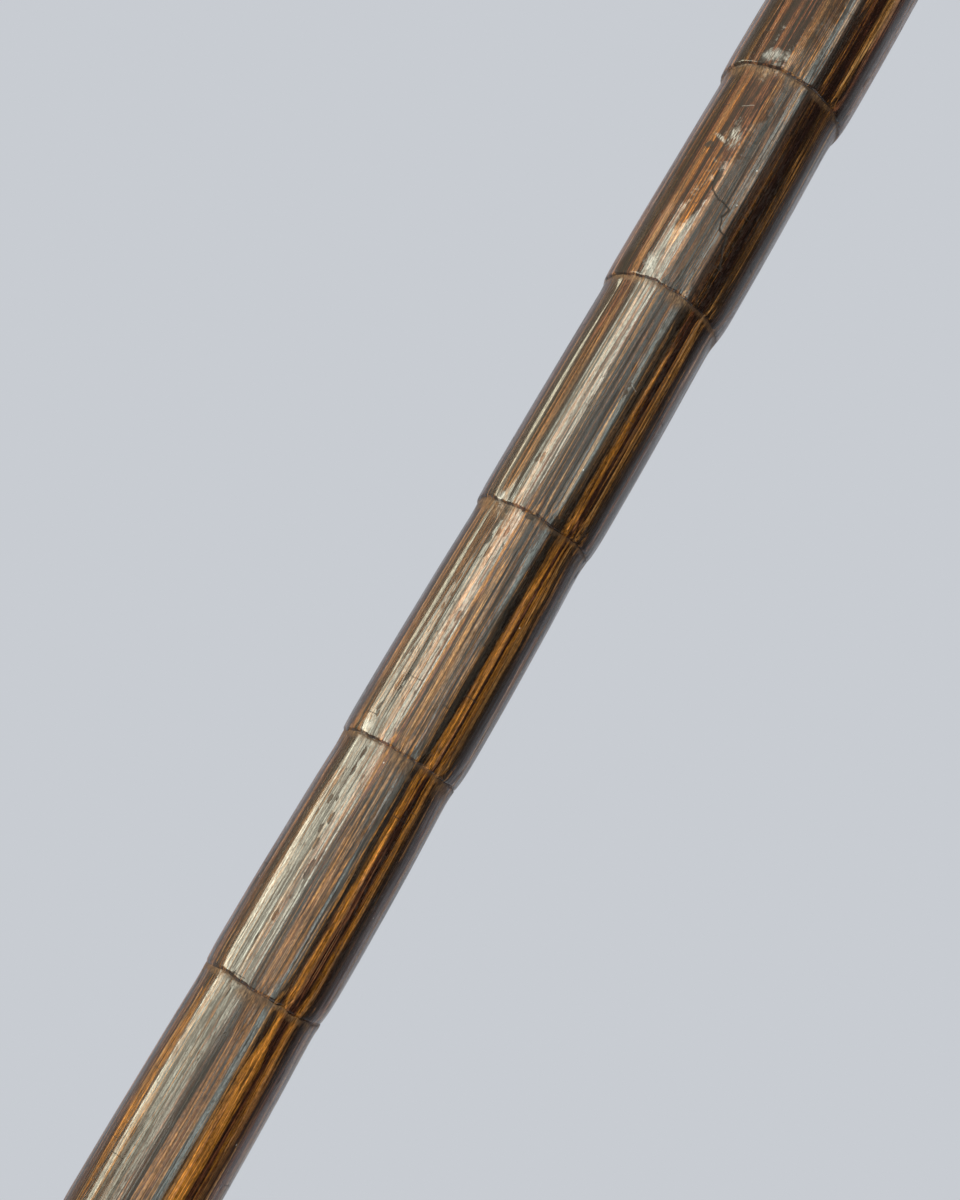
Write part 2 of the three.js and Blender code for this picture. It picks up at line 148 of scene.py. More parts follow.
class Net:
    """A node tree with short calls that add one node and link or set its inputs."""

    def __init__(self, tree: bpy.types.NodeTree) -> None:
        """Takes the tree to add nodes to."""
        self.tree = tree

    def node(self, kind: str, inputs: dict | None = None, **settings: object) -> bpy.types.Node:
        """Adds a node.

        Args:
            kind: the node's type name.
            inputs: socket name or index to a constant or to the value that feeds it.
            settings: the node's own properties.

        Returns:
            The new node.
        """
        node = self.tree.nodes.new(kind)
        for name, value in settings.items():
            setattr(node, name, value)
        for key, value in (inputs or {}).items():
            if isinstance(value, Value):
                self.tree.links.new(value.socket, node.inputs[key])
            else:
                node.inputs[key].default_value = value
        return node

    def add(self, kind: str, inputs: dict | None = None, out: int | str = 0, **settings: object) -> Value:
        """Adds a node and returns one of its outputs."""
        return Value(self, self.node(kind, inputs, **settings).outputs[out])

    def named(self, node: bpy.types.Node) -> dict[str, Value]:
        """Returns a node's outputs by name."""
        return {socket.name: Value(self, socket) for socket in node.outputs}

    def use(self, tree: bpy.types.NodeTree, inputs: dict) -> dict[str, Value]:
        """Places a node group of this tree's kind and returns its outputs by name."""
        return self.named(self.node(self.tree.bl_idname.replace("Tree", "Group"), inputs, node_tree=tree))

    def math(self, operation: str, *values: Operand, clamp: bool = False) -> Value:
        """Returns the result of a Math node."""
        return self.add("ShaderNodeMath", dict(enumerate(values)), operation=operation, use_clamp=clamp)

    def vector(self, operation: str, *values: Value | tuple, out: int | str = 0) -> Value:
        """Returns what a Vector Math node gives: a vector, or with the output named, a number."""
        return self.add("ShaderNodeVectorMath", dict(enumerate(values)), out, operation=operation)

    def scaled(self, vector: Value | tuple, factor: Operand) -> Value:
        """Returns a vector times a number."""
        return self.add("ShaderNodeVectorMath", {0: vector, "Scale": factor}, operation="SCALE")

    def measure(self, operation: str, *vectors: Value | tuple) -> Value:
        """Returns the number that a Vector Math node gives, such as a dot product or a distance."""
        return self.vector(operation, *vectors, out="Value")

    def largest(self, *values: Value) -> Value:
        """Returns the largest of several values."""
        return reduce(lambda a, b: self.math("MAXIMUM", a, b), values)

    def split(self, vector: Value, kind: str = "XYZ") -> tuple[Value, Value, Value]:
        """Returns the three parts of a vector or colour."""
        return tuple(self.named(self.node("ShaderNodeSeparate" + kind, {0: vector})).values())

    def join(self, x: Operand, y: Operand, z: Operand) -> Value:
        """Returns the vector of three parts."""
        return self.add("ShaderNodeCombineXYZ", {0: x, 1: y, 2: z})

    def noise(
        self, vector: Value, scale: float, detail: float = 2.0, roughness: float = 0.5, out: int | str = 0
    ) -> Value:
        """Returns the value of a Noise Texture node, about 0.5 on average."""
        inputs = {"Vector": vector, "Scale": scale, "Detail": detail, "Roughness": roughness}
        return self.add("ShaderNodeTexNoise", inputs, out)

    def cells(
        self, vector: Value, scale: float = 1.0, randomness: float = 1.0
    ) -> tuple[Value, Value, Value, Value]:
        """Divides space into the cells of a Voronoi Texture node.

        Args:
            vector: the place.
            scale: cells per unit.
            randomness: how unevenly the cells lie, up to 1.

        Returns:
            Distance from the nearest cell's middle, two random values of the cell, and its middle.
        """
        inputs = {"Vector": vector, "Scale": scale, "Randomness": randomness}
        cell = self.named(self.node("ShaderNodeTexVoronoi", inputs))
        chance, other, _ = self.split(cell["Color"], "Color")
        return cell["Distance"], chance, other, cell["Position"]

    def blend(self, share: Value, a: Operand, b: Operand) -> Value:
        """Returns the mix of two numbers."""
        return self.add("ShaderNodeMix", {0: share, 2: a, 3: b})

    def mix(self, share: Operand, a: Value | Colour, b: Value | Colour, kind: str = "MIX") -> Value:
        """Returns the mix of two colours."""
        a, b = (c if isinstance(c, Value) else (*c, 1.0) for c in (a, b))
        return self.add("ShaderNodeMix", {0: share, 6: a, 7: b}, 2, data_type="RGBA", blend_type=kind)

    def tinted(self, a: Value | Colour, b: Value | Colour) -> Value:
        """Returns the product of two colours."""
        return self.mix(1.0, a, b, "MULTIPLY")

    def painted(self, colour: Value, *coats: tuple[Value, float, Value | Colour]) -> Value:
        """Lays coats of other colours over a colour.

        Args:
            colour: the ground.
            coats: each coat's mask, how much it covers there, and its colour.

        Returns:
            The colour on top.
        """
        for mask, cover, over in coats:
            colour = self.mix(mask * cover, colour, over)
        return colour

    def grey(self, value: Value) -> Value:
        """Returns the grey with this value."""
        return self.join(value, value, value)

    def ramp(self, value: Value, stops: Stops) -> Value:
        """Colours a value by a Color Ramp node.

        Args:
            value: a number from 0 to 1.
            stops: rising places on the ramp and their colours.

        Returns:
            The colour.
        """
        node = self.node("ShaderNodeValToRGB", {0: value})
        elements = node.color_ramp.elements
        while len(elements) < len(stops):
            elements.new(1.0)
        for element, (place, colour) in zip(elements, stops):
            element.position = place
            element.color = (*colour, 1.0)
        return Value(self, node.outputs[0])


def new_group(
    name: str, inputs: dict, outputs: dict, kind: str = "ShaderNodeTree"
) -> tuple[Net, dict[str, Value]]:
    """Makes an empty node group with its sockets.

    Args:
        name: the group's name.
        inputs: socket label to (socket type, default value or None).
        outputs: socket label to socket type.
        kind: the tree's type name.

    Returns:
        The net, and the group's inputs by label.
    """
    tree = bpy.data.node_groups.new(name, kind)
    for label, (socket, value) in inputs.items():
        item = tree.interface.new_socket(label, in_out="INPUT", socket_type=socket)
        if value is not None:
            item.default_value = value
    for label, socket in outputs.items():
        tree.interface.new_socket(label, in_out="OUTPUT", socket_type=socket)
    net = Net(tree)
    return net, net.named(net.node("NodeGroupInput"))


class Grain:
    """Coordinates in millimetres, in which a pattern can be stretched along Z."""

    def __init__(self, net: Net, vector: Value, bend: Operand = 0.0, offset: Operand = 0.0) -> None:
        """Places the grain.

        Args:
            net: the node tree's net.
            vector: object coordinates in metres.
            bend: how far the grain sways to the side, in millimetres.
            offset: a shift along the grain, in millimetres.
        """
        self.net = net
        x, y, z = net.split(net.scaled(vector, PER_METRE))
        self.z = z + offset
        drift = net.noise(net.join(x * 0.05, y * 0.05, self.z * 0.013), 1.0, out="Color")
        sway_x, sway_y, _ = net.split(net.scaled(net.vector("SUBTRACT", drift, (MEAN, MEAN, MEAN)), bend))
        self.x, self.y = x + sway_x, y + sway_y

    def stretched(self, width: float, length: float) -> Value:
        """Returns coordinates in which a unit is width across the grain and length along it, in mm."""
        return self.net.join(self.x * (1.0 / width), self.y * (1.0 / width), self.z * (1.0 / length))

    def streaks(self, width: float, length: float, detail: float = 2.0, roughness: float = 0.5) -> Value:
        """Returns noise drawn out along the grain."""
        return self.net.noise(self.stretched(width, length), 1.0, detail, roughness)

    def cells(self, width: float, length: float) -> tuple[Value, Value, Value, Value]:
        """Returns what Net.cells gives for cells drawn out along the grain."""
        return self.net.cells(self.stretched(width, length))


WARM: Stops = (
    (0.00, (0.014, 0.006, 0.003)),
    (0.42, (0.030, 0.012, 0.005)),
    (0.50, (0.070, 0.027, 0.009)),
    (0.57, (0.150, 0.056, 0.014)),
    (0.66, (0.215, 0.090, 0.024)),
    (0.88, (0.36, 0.20, 0.088)),
)
GOLDEN: Stops = (
    (0.00, (0.014, 0.007, 0.003)),
    (0.42, (0.030, 0.014, 0.005)),
    (0.50, (0.072, 0.034, 0.011)),
    (0.57, (0.160, 0.067, 0.014)),
    (0.66, (0.27, 0.112, 0.022)),
    (0.88, (0.40, 0.215, 0.075)),
)
RUSSET: Stops = (
    (0.00, (0.014, 0.005, 0.003)),
    (0.42, (0.034, 0.011, 0.005)),
    (0.50, (0.075, 0.023, 0.010)),
    (0.57, (0.125, 0.039, 0.016)),
    (0.66, (0.19, 0.072, 0.027)),
    (0.88, (0.30, 0.155, 0.075)),
)


def palm_grain_group() -> bpy.types.NodeTree:
    """Builds the stripes of palm wood: dark fibre bundles in orange and brown ground, running along Z.

    Returns:
        A group with the stripes' colour, how light the wood is there (0 to 1), how light its finest fibres
        are (about 1) and the grain's fine relief.
    """
    inputs = {"Vector": (VECTOR, None), "Lightness": (FLOAT, 0.0)}
    inputs |= {"Waviness": (FLOAT, 1.7), "Offset": (FLOAT, 0.0)}
    outputs = {"Color": COLOR, "Light Wood": FLOAT, "Fibre": FLOAT, "Relief": FLOAT}
    net, given = new_group("palm_grain", inputs, outputs)
    grain = Grain(net, given["Vector"], given["Waviness"], given["Offset"])
    _, broad, broad_hue, _ = grain.cells(2.7, 230.0)
    _, middle, middle_hue, _ = grain.cells(1.0, 120.0)
    fine, fibre, vein = (grain.cells(*size)[1] for size in ((0.44, 110.0), (0.22, 60.0), (0.31, 48.0)))
    thread = grain.streaks(0.18, 40.0, 2.0, 0.6)
    hair = grain.streaks(0.13, 30.0, 1.0)
    dash = grain.streaks(0.27, 3.5, 2.0, 0.6)
    speck = grain.streaks(0.14, 0.7, 1.0)
    tone = broad * 0.28 + middle * 0.38 + fine * 0.22 + fibre * 0.12 + (thread - MEAN) * 0.45
    tone = (tone - MEAN) * 1.35 + 0.485
    tone = net.math("ADD", tone, given["Lightness"], clamp=True)
    colour = net.mix(middle_hue.span(0.60, 0.66), net.ramp(tone, WARM), net.ramp(tone, GOLDEN))
    colour = net.mix(broad_hue.span(0.66, 0.70), colour, net.ramp(tone, RUSSET))
    shade = hair.span(0.40, 0.56, 0.32, 1.32) * dash.span(0.54, 0.64, 1.0, 0.58)
    shade = shade * vein.between(0.62, 1.32) * speck.span(0.34, 0.66, 0.58, 1.40)
    made = net.tinted(colour, net.grey(shade)), tone.span(0.45, 0.70), shade, fine * 0.5 + (thread + hair)
    net.node("NodeGroupOutput", dict(zip(outputs, made)))
    return net.tree


def varnish_wear_group() -> bpy.types.NodeTree:
    """Builds the wear of an old brushed varnish along Z: streaks, flaked ovals, pits and fine cross cracks.

    Returns:
        A group with masks of the flaked, pitted, cracked and specked places, how glossy the film is between
        them, and the surface's height in millimetres.
    """
    inputs = {"Vector": (VECTOR, None), "Amount": (FLOAT, 1.0), "Flaking": (FLOAT, 0.0)}
    outputs = dict.fromkeys(("Flaked", "Pitted", "Cracked", "Specks", "Gloss", "Height"), FLOAT)
    net, given = new_group("varnish_wear", inputs, outputs)
    grain = Grain(net, given["Vector"])
    amount = given["Amount"]
    patch = grain.streaks(9.0, 24.0).span(0.47, 0.60, smooth=True)
    distance, chance, _, _ = grain.cells(1.0, 3.0)
    ragged = distance + (grain.streaks(0.30, 0.6, 2.0) - MEAN) * 0.5
    likely = 0.92 - given["Flaking"] * 0.19
    chosen = chance.above(likely) * net.largest(patch, given["Flaking"]) * amount
    flaked = ragged.span(0.40, 0.37) * chosen
    rim = ragged.span(0.30, 0.36) * flaked * 0.7
    dash = grain.streaks(0.26, 1.6, 3.0, 0.75)
    pitted = net.largest(dash.span(0.56, 0.62) * patch.between(0.35, 1.0) * amount, rim)
    crack_spacing = 8.0
    _, crack_chance, _, middle = grain.cells(2.6, crack_spacing)
    wobble = (grain.streaks(0.5, 0.8) - MEAN) * 0.06
    apart = grain.z * (1.0 / crack_spacing) - net.split(middle)[2]
    cracked = abs(apart + wobble).span(0.016, 0.006) * crack_chance.above(0.94) * amount
    dot, dot_chance, _, _ = grain.cells(1.1, 1.6)
    specks = dot.span(0.11, 0.06) * dot_chance.above(0.985)
    streak = grain.cells(0.36, 60.0)[1] * 0.5 + grain.cells(0.22, 14.0)[1] * 0.5
    broken = grain.streaks(0.20, 2.2, 3.0, 0.7)
    crumbly = grain.streaks(0.16, 0.45, 1.0)
    gloss = streak.span(0.26, 0.70, 0.16, 1.0) * broken.span(0.38, 0.48, 0.46, 1.0)
    gloss = gloss * crumbly.span(0.36, 0.60, 0.56, 1.0) * flaked.between(1.0, 0.22)
    gloss = gloss * net.largest(pitted, cracked).between(1.0, 0.2)
    height = (grain.streaks(0.42, 30.0, 3.0, 0.65) - MEAN) * 0.030
    for waves, depth in ((broken, 0.010), (crumbly, 0.010), (grain.streaks(3.5, 30.0, 1.0), 0.022)):
        height = height + (waves - MEAN) * depth
    height = height - flaked * 0.012 - pitted * 0.020 - cracked * 0.020 + specks * 0.020
    net.node("NodeGroupOutput", dict(zip(outputs, (flaked, pitted, cracked, specks, gloss, height))))
    return net.tree


@dataclass(frozen=True)
class Surface:
    """A new material with its Principled shader and object coordinates at hand."""

    net: Net
    shader: bpy.types.Node
    place: Value
    material: bpy.types.Material

    @classmethod
    def new(cls, name: str, constants: dict) -> "Surface":
        """Makes a material.

        Args:
            name: its name.
            constants: socket name of the shader to value.

        Returns:
            The surface, whose other sockets are fed later.
        """
        material = bpy.data.materials.new(name)
        material.use_nodes = True
        material.node_tree.nodes.clear()
        net = Net(material.node_tree)
        shader = net.node("ShaderNodeBsdfPrincipled", constants)
        net.node("ShaderNodeOutputMaterial", {"Surface": Value(net, shader.outputs[0])})
        return cls(net, shader, net.add("ShaderNodeTexCoord", out="Object"), material)

    def carried(self, name: str) -> Value:
        """Returns a value that the mesh carries."""
        return self.net.add("ShaderNodeAttribute", out="Fac", attribute_name=name)

    def feed(self, socket: str, value: Value) -> None:
        """Links a value to a socket of the shader."""
        self.net.tree.links.new(value.socket, self.shader.inputs[socket])

    def finish(self, height: Value) -> bpy.types.Material:
        """Makes the shader's normal follow the relief.

        Args:
            height: the surface's height in millimetres.

        Returns:
            The finished material.
        """
        inputs = {"Height": height, "Distance": MM, "Strength": 1.0}
        self.feed("Normal", self.net.add("ShaderNodeBump", inputs))
        return self.material


@dataclass(frozen=True)
class Mark:
    """A place on the unrolled shaft, in millimetres: across from its front line, and up from the ground."""

    across: float
    height: float
    half_width: float
    half_length: float
    lean_deg: float = 0.0


class Unrolled:
    """The shaft's skin laid flat in a material: millimetres across from its front line, and height."""

    def __init__(self, net: Net, place: Value, radius_mm: float) -> None:
        """Lays the skin flat.

        Args:
            net: the material's net.
            place: object coordinates.
            radius_mm: the shaft's radius where the marks are.
        """
        self.net = net
        x, y, z = net.split(place)
        self.across = net.math("ARCTAN2", x, y * -1.0) * radius_mm
        self.height = z * PER_METRE
        self.rough = net.noise(place, 1100.0, 3.0, 0.6) - MEAN
        self.slow = net.noise(place, 260.0) - MEAN

    def oval(self, mark: Mark, ragged: float) -> Value:
        """Measures how far a place is from the middle of an oval mark.

        Args:
            mark: the oval.
            ragged: how ragged its edge is.

        Returns:
            0 in the oval's middle and 1 at its edge.
        """
        lean = math.radians(mark.lean_deg)
        dx, dz = self.across - mark.across, self.height - mark.height
        wide = dx * math.cos(lean) + dz * math.sin(lean)
        long = dz * math.cos(lean) - dx * math.sin(lean)
        away = self.net.measure("LENGTH", self.net.join(wide / mark.half_width, long / mark.half_length, 0.0))
        return away + (self.rough + self.slow) * ragged

    def spot(self, mark: Mark, ragged: float = 0.8) -> Value:
        """Returns the mask of an oval spot with a ragged edge."""
        return self.oval(mark, ragged).span(1.0, 0.72)

    def shadow(self, mark: Mark) -> Value:
        """Returns the mask of a very ragged oval spot."""
        return self.spot(mark, 1.2)

    def glow(self, mark: Mark) -> Value:
        """Returns the mask of an oval spot that fades out from its middle."""
        return self.oval(mark, 1.6).span(1.25, 0.15, smooth=True)

    def stripe(self, mark: Mark) -> Value:
        """Masks a long band with a slightly wandering middle and tapering ends.

        Args:
            mark: the band.

        Returns:
            The mask.
        """
        dx = self.across - mark.across + self.slow * 0.5
        dz = abs(self.height - mark.height)
        taper = dz.span(mark.half_length * 0.55, mark.half_length, mark.half_width, 0.0)
        return (abs(dx) - taper).span(0.12, -0.12)

    def all(self, mask: Callable[[Mark], Value], marks: tuple[Mark, ...]) -> Value:
        """Returns one mask for several marks."""
        return self.net.largest(*map(mask, marks))

    def line(self, points: Points, reach: float) -> Value:
        """Masks a ragged line.

        Args:
            points: the line's points (across, height), in millimetres.
            reach: how far the mask reaches to each side, in millimetres.

        Returns:
            The mask.
        """
        net = self.net
        shaken = net.join(self.across + self.rough * 0.9, self.height + self.slow * 1.6, 0.0)
        nearest = None
        for (ax, ay), (bx, by) in zip(points, points[1:]):
            step = (bx - ax, by - ay, 0.0)
            square = step[0] ** 2 + step[1] ** 2
            from_start = net.vector("SUBTRACT", shaken, (ax, ay, 0.0))
            share = net.measure("DOT_PRODUCT", from_start, tuple(c / square for c in step))
            share = net.math("ADD", share, 0.0, clamp=True)
            away = net.measure("DISTANCE", from_start, net.scaled(step, share))
            nearest = away if nearest is None else net.math("MINIMUM", nearest, away)
        return nearest.span(reach, reach * 0.45)


class WoodTone(Enum):
    """Flat colours laid on the wood: those of wear and marks, of the darker step corners, and of painted
    highlights and painted shadow.
    """

    PITTED = (0.030, 0.018, 0.010)
    CRACKED = (0.015, 0.012, 0.010)
    CRACK_AND_SHADOW = (0.012, 0.010, 0.009)
    CORNER_DARK = (0.055, 0.031, 0.017)
    SCRATCH = (0.42, 0.41, 0.37)
    SPECK = (0.75, 0.74, 0.68)
    PAINTED_HIGHLIGHT_DIM = (0.10, 0.10, 0.09)
    PAINTED_HIGHLIGHT_BRIGHT = (0.56, 0.56, 0.50)
    HANDLE_PITTED = (0.026, 0.016, 0.010)
    HANDLE_FOOT_DARK = (0.016, 0.011, 0.008)
    BUNDLE_END = (0.016, 0.009, 0.006)
    GOLD = (0.56, 0.22, 0.028)
    BARE = (0.86, 0.72, 0.38)
    POLISHED = (1.5, 1.42, 1.25)


RUBBED_FIBRES: Stops = (
    (0.38, (0.034, 0.017, 0.008)), (0.50, (0.115, 0.056, 0.021)), (0.60, (0.30, 0.17, 0.070)),
)
SPLINTERS: Stops = (
    (0.40, (0.06, 0.05, 0.035)), (0.50, (0.28, 0.255, 0.20)), (0.60, (0.60, 0.58, 0.50)),
)
END_GRAIN: Stops = (
    (0.32, (0.045, 0.020, 0.009)), (0.50, (0.115, 0.048, 0.016)), (0.68, (0.22, 0.10, 0.027)),
)
HORN_LAYERS: Stops = (
    (0.40, (0.014, 0.011, 0.009)), (0.56, (0.034, 0.023, 0.014)), (0.72, (0.16, 0.085, 0.03)),
)


@dataclass(frozen=True)
class ShaftWood:
    """Dark striped palm wood under a worn gloss varnish, scuffed and darker at the carved steps, with painted
    highlights at some lips and painted shadow by the chip.
    """

    roughness: float = 0.15
    worn_roughness: float = 0.55
    radius_mm: float = 12.3
    crack_reach_mm: float = 0.26
    scratch_reach_mm: float = 0.10
    golden_bands: tuple[Mark, ...] = (
        Mark(5.6, 676.0, 0.75, 55.0), Mark(8.1, 596.0, 0.55, 46.0), Mark(7.4, 656.0, 0.4, 34.0),
        Mark(4.7, 612.0, 0.7, 40.0), Mark(-3.0, 655.0, 0.3, 46.0), Mark(0.9, 610.0, 0.3, 44.0),
        Mark(-5.0, 753.5, 0.9, 12.0), Mark(5.0, 566.0, 1.5, 24.0), Mark(-11.3, 568.0, 0.9, 22.0),
        Mark(-8.3, 768.0, 0.45, 16.0), Mark(-6.3, 760.0, 0.45, 12.0),
    )
    dark_bands: tuple[Mark, ...] = (
        Mark(4.7, 764.0, 2.8, 44.0), Mark(10.4, 764.0, 2.6, 44.0), Mark(9.9, 700.0, 0.9, 50.0),
        Mark(4.2, 664.0, 0.6, 40.0), Mark(10.7, 640.0, 1.4, 80.0),
    )
    light_bands: tuple[Mark, ...] = (Mark(-10.8, 765.0, 2.0, 24.0), Mark(-8.4, 758.0, 0.8, 18.0))
    # Painted highlights: whitish spots at some lips that stand in for the lamps' reflection in the varnish
    # there.
    lip_highlight_marks: tuple[Mark, ...] = (
        Mark(-6.3, 738.6, 1.5, 2.6, 20.0), Mark(-6.2, 787.7, 2.0, 1.2, 12.0), Mark(-9.3, 686.7, 0.8, 1.1),
        Mark(-9.4, 638.4, 1.4, 1.3),
    )
    scratches: tuple[Points, ...] = (((-4.5, 776.6), (-6.7, 775.6)), ((2.2, 716.0), (3.6, 715.4)))
    flaking: tuple[Mark, ...] = (Mark(-6.4, 645.0, 3.0, 62.0),)
    dulled: tuple[Mark, ...] = (Mark(-6.3, 562.0, 3.4, 27.0),)
    bare_patches: tuple[Mark, ...] = (
        Mark(-7.2, 771.0, 6.2, 22.0, -5.0), Mark(-4.6, 754.0, 1.5, 8.0, -8.0), Mark(-11.2, 738.2, 2.8, 4.0),
        Mark(-5.6, 812.0, 7.5, 31.0),
    )
    chip: tuple[Mark, ...] = (Mark(-4.9, 769.2, 1.7, 3.0, 14.0), Mark(-6.8, 767.9, 1.7, 0.5, -28.0))
    # Painted shadow: dark spots in and beside the chip's hollow and at one ring, where shade falls.
    chip_shadow: tuple[Mark, ...] = (
        Mark(-8.6, 766.2, 0.8, 0.8), Mark(-3.4, 760.0, 0.55, 2.4), Mark(-1.7, 685.0, 1.1, 0.6),
    )
    crack: Points = (
        (-3.4, 762.0), (-3.5, 758.4), (-3.1, 757.3), (-1.1, 755.8), (1.4, 755.1), (0.9, 752.9), (1.7, 750.7),
        (3.2, 750.1), (4.5, 746.7), (5.3, 744.7),
    )

    def rubbed(self, surface: Surface, skin: Unrolled) -> tuple[Value, Value]:
        """Masks the scuffs at the carved steps and the darker corner under each lip.

        Args:
            surface: the material's surface.
            skin: the shaft's skin laid flat.

        Returns:
            The masks of the scuffed places and of the darker corners.
        """
        above, below = (surface.carried(name) * PER_METRE for name in ("above", "below"))
        blotch = (skin.slow + skin.rough * 0.4).span(-0.12, 0.12, smooth=True)
        scuffed_to = below + skin.rough * 2.2
        scuff = scuffed_to.span(1.6, 0.1, smooth=True) * blotch.between(0.2, 1.0)
        patchy = surface.net.noise(surface.place, 150.0).span(0.48, 0.62, smooth=True)
        scuff = surface.net.largest(scuff, scuffed_to.span(4.2, 0.8, smooth=True) * patchy * 0.8)
        # Darker in the corner under each lip and on the step's underside, broken into blotches.
        ragged = (below + skin.rough * 1.5).span(0.65, 0.05, smooth=True)
        darkened = surface.net.largest(ragged, above.span(0.12, 0.0, 0.0, 0.6))
        return scuff, darkened * blotch.span(0.3, 0.9, 1.0, 0.25)

    def striped(self, skin: Unrolled, fibrous: Grain, wood: dict[str, Value]) -> Value:
        """Lays the golden bands over the wood's stripes.

        Args:
            skin: the shaft's skin laid flat.
            fibrous: the grain's coordinates.
            wood: what the palm grain group gives.

        Returns:
            The wood's colour.
        """
        net = skin.net
        broken = fibrous.streaks(0.55, 16.0, 2.0, 0.6).span(0.38, 0.54, 0.30, 1.0)
        gold = skin.all(skin.stripe, self.golden_bands) * broken
        shade = wood["Light Wood"].between(0.55, 1.0) * wood["Fibre"]
        return net.mix(gold * 0.85, wood["Color"], net.tinted(WoodTone.GOLD.value, net.grey(shade)))

    def build(self, grain: bpy.types.NodeTree, wear: bpy.types.NodeTree) -> bpy.types.Material:
        """Builds the material.

        Args:
            grain: the palm grain group.
            wear: the varnish wear group.

        Returns:
            The material.
        """
        constants = {"Coat Roughness": 0.05, "Coat IOR": 2.2, "IOR": 1.5, "Specular IOR Level": 0.3}
        surface = Surface.new("shaft_wood", constants)
        net, place, tone = surface.net, surface.place, WoodTone
        skin, fibrous = Unrolled(net, place, self.radius_mm), Grain(net, place)
        light, dark = (skin.all(skin.stripe, bands) for bands in (self.light_bands, self.dark_bands))
        lightness = light * 0.13 - dark * 0.27
        wood = net.use(grain, {"Vector": place, "Lightness": lightness})
        loose = skin.all(skin.stripe, self.flaking)
        worn = net.use(wear, {"Vector": place, "Amount": 1.0, "Flaking": loose})

        scuff, darkened = self.rubbed(surface, skin)
        chip = skin.all(skin.glow, self.chip)
        crack = skin.line(self.crack, self.crack_reach_mm)
        # The chip's painted shadow joins the crack's mask here, so the crack and the shadow share one dark
        # colour.
        crack = net.largest(crack, skin.all(skin.shadow, self.chip_shadow))
        bare = skin.all(skin.spot, self.bare_patches)
        # painted highlight at the lips, laid into the colour
        painted_highlight = skin.all(skin.glow, self.lip_highlight_marks)
        scratch = net.largest(*(skin.line(points, self.scratch_reach_mm) for points in self.scratches))

        colour = self.striped(skin, fibrous, wood)
        fibres = net.noise(fibrous.stretched(0.22, 1.1), 1.0, 3.0, 0.7)
        lines = fibrous.streaks(0.17, 24.0, 1.0).span(0.42, 0.53, 0.38, 1.12)
        lined = net.tinted(net.grey(lines), tone.BARE.value)
        splinters = net.noise(fibrous.stretched(0.22, 1.3), 1.0, 2.0, 0.6)
        # colour of the painted highlights: grey to whitish along the fibres
        highlight_colour = net.mix(fibres.span(0.42, 0.56), tone.PAINTED_HIGHLIGHT_DIM.value, tone.PAINTED_HIGHLIGHT_BRIGHT.value)
        colour = net.painted(
            colour,
            (bare, 0.85, net.tinted(colour, lined)),
            (scuff, 0.8, net.ramp(fibres, RUBBED_FIBRES)),
            (worn["Pitted"], 0.55, tone.PITTED.value),
            (worn["Cracked"], 0.8, tone.CRACKED.value),
            (chip * splinters.span(0.40, 0.52, 0.25, 0.80), 1.0, net.ramp(splinters, SPLINTERS)),
            # the crack, and the chip's painted shadow
            (crack, 0.85, tone.CRACK_AND_SHADOW.value),
            # the darker step corners
            (darkened, 0.55, tone.CORNER_DARK.value),
            # painted highlights at the lips
            (painted_highlight, 0.6, highlight_colour),
            (scratch, 0.4, tone.SCRATCH.value),
            (worn["Specks"], 1.0, tone.SPECK.value),
        )
        surface.feed("Base Color", colour)

        dull = net.largest(scuff, darkened, chip, crack, bare)
        varnish = worn["Gloss"] * skin.all(skin.stripe, self.dulled).between(0.75, 0.42)
        surface.feed("Coat Weight", varnish * dull.between(1.0, 0.0))
        gloss = worn["Gloss"].span(0.15, 1.0, 0.18, -0.03) + self.roughness + wood["Light Wood"] * 0.10
        lost = net.largest(dull, worn["Flaked"], worn["Pitted"], worn["Cracked"])
        surface.feed("Roughness", net.blend(lost, gloss, self.worn_roughness))
        crumbs = (skin.rough + fibres) * net.largest(scuff, darkened) * 0.10 + skin.rough * (chip * 0.3)
        return surface.finish(worn["Height"] + wood["Relief"] * 0.006 + crumbs - crack * 0.08)


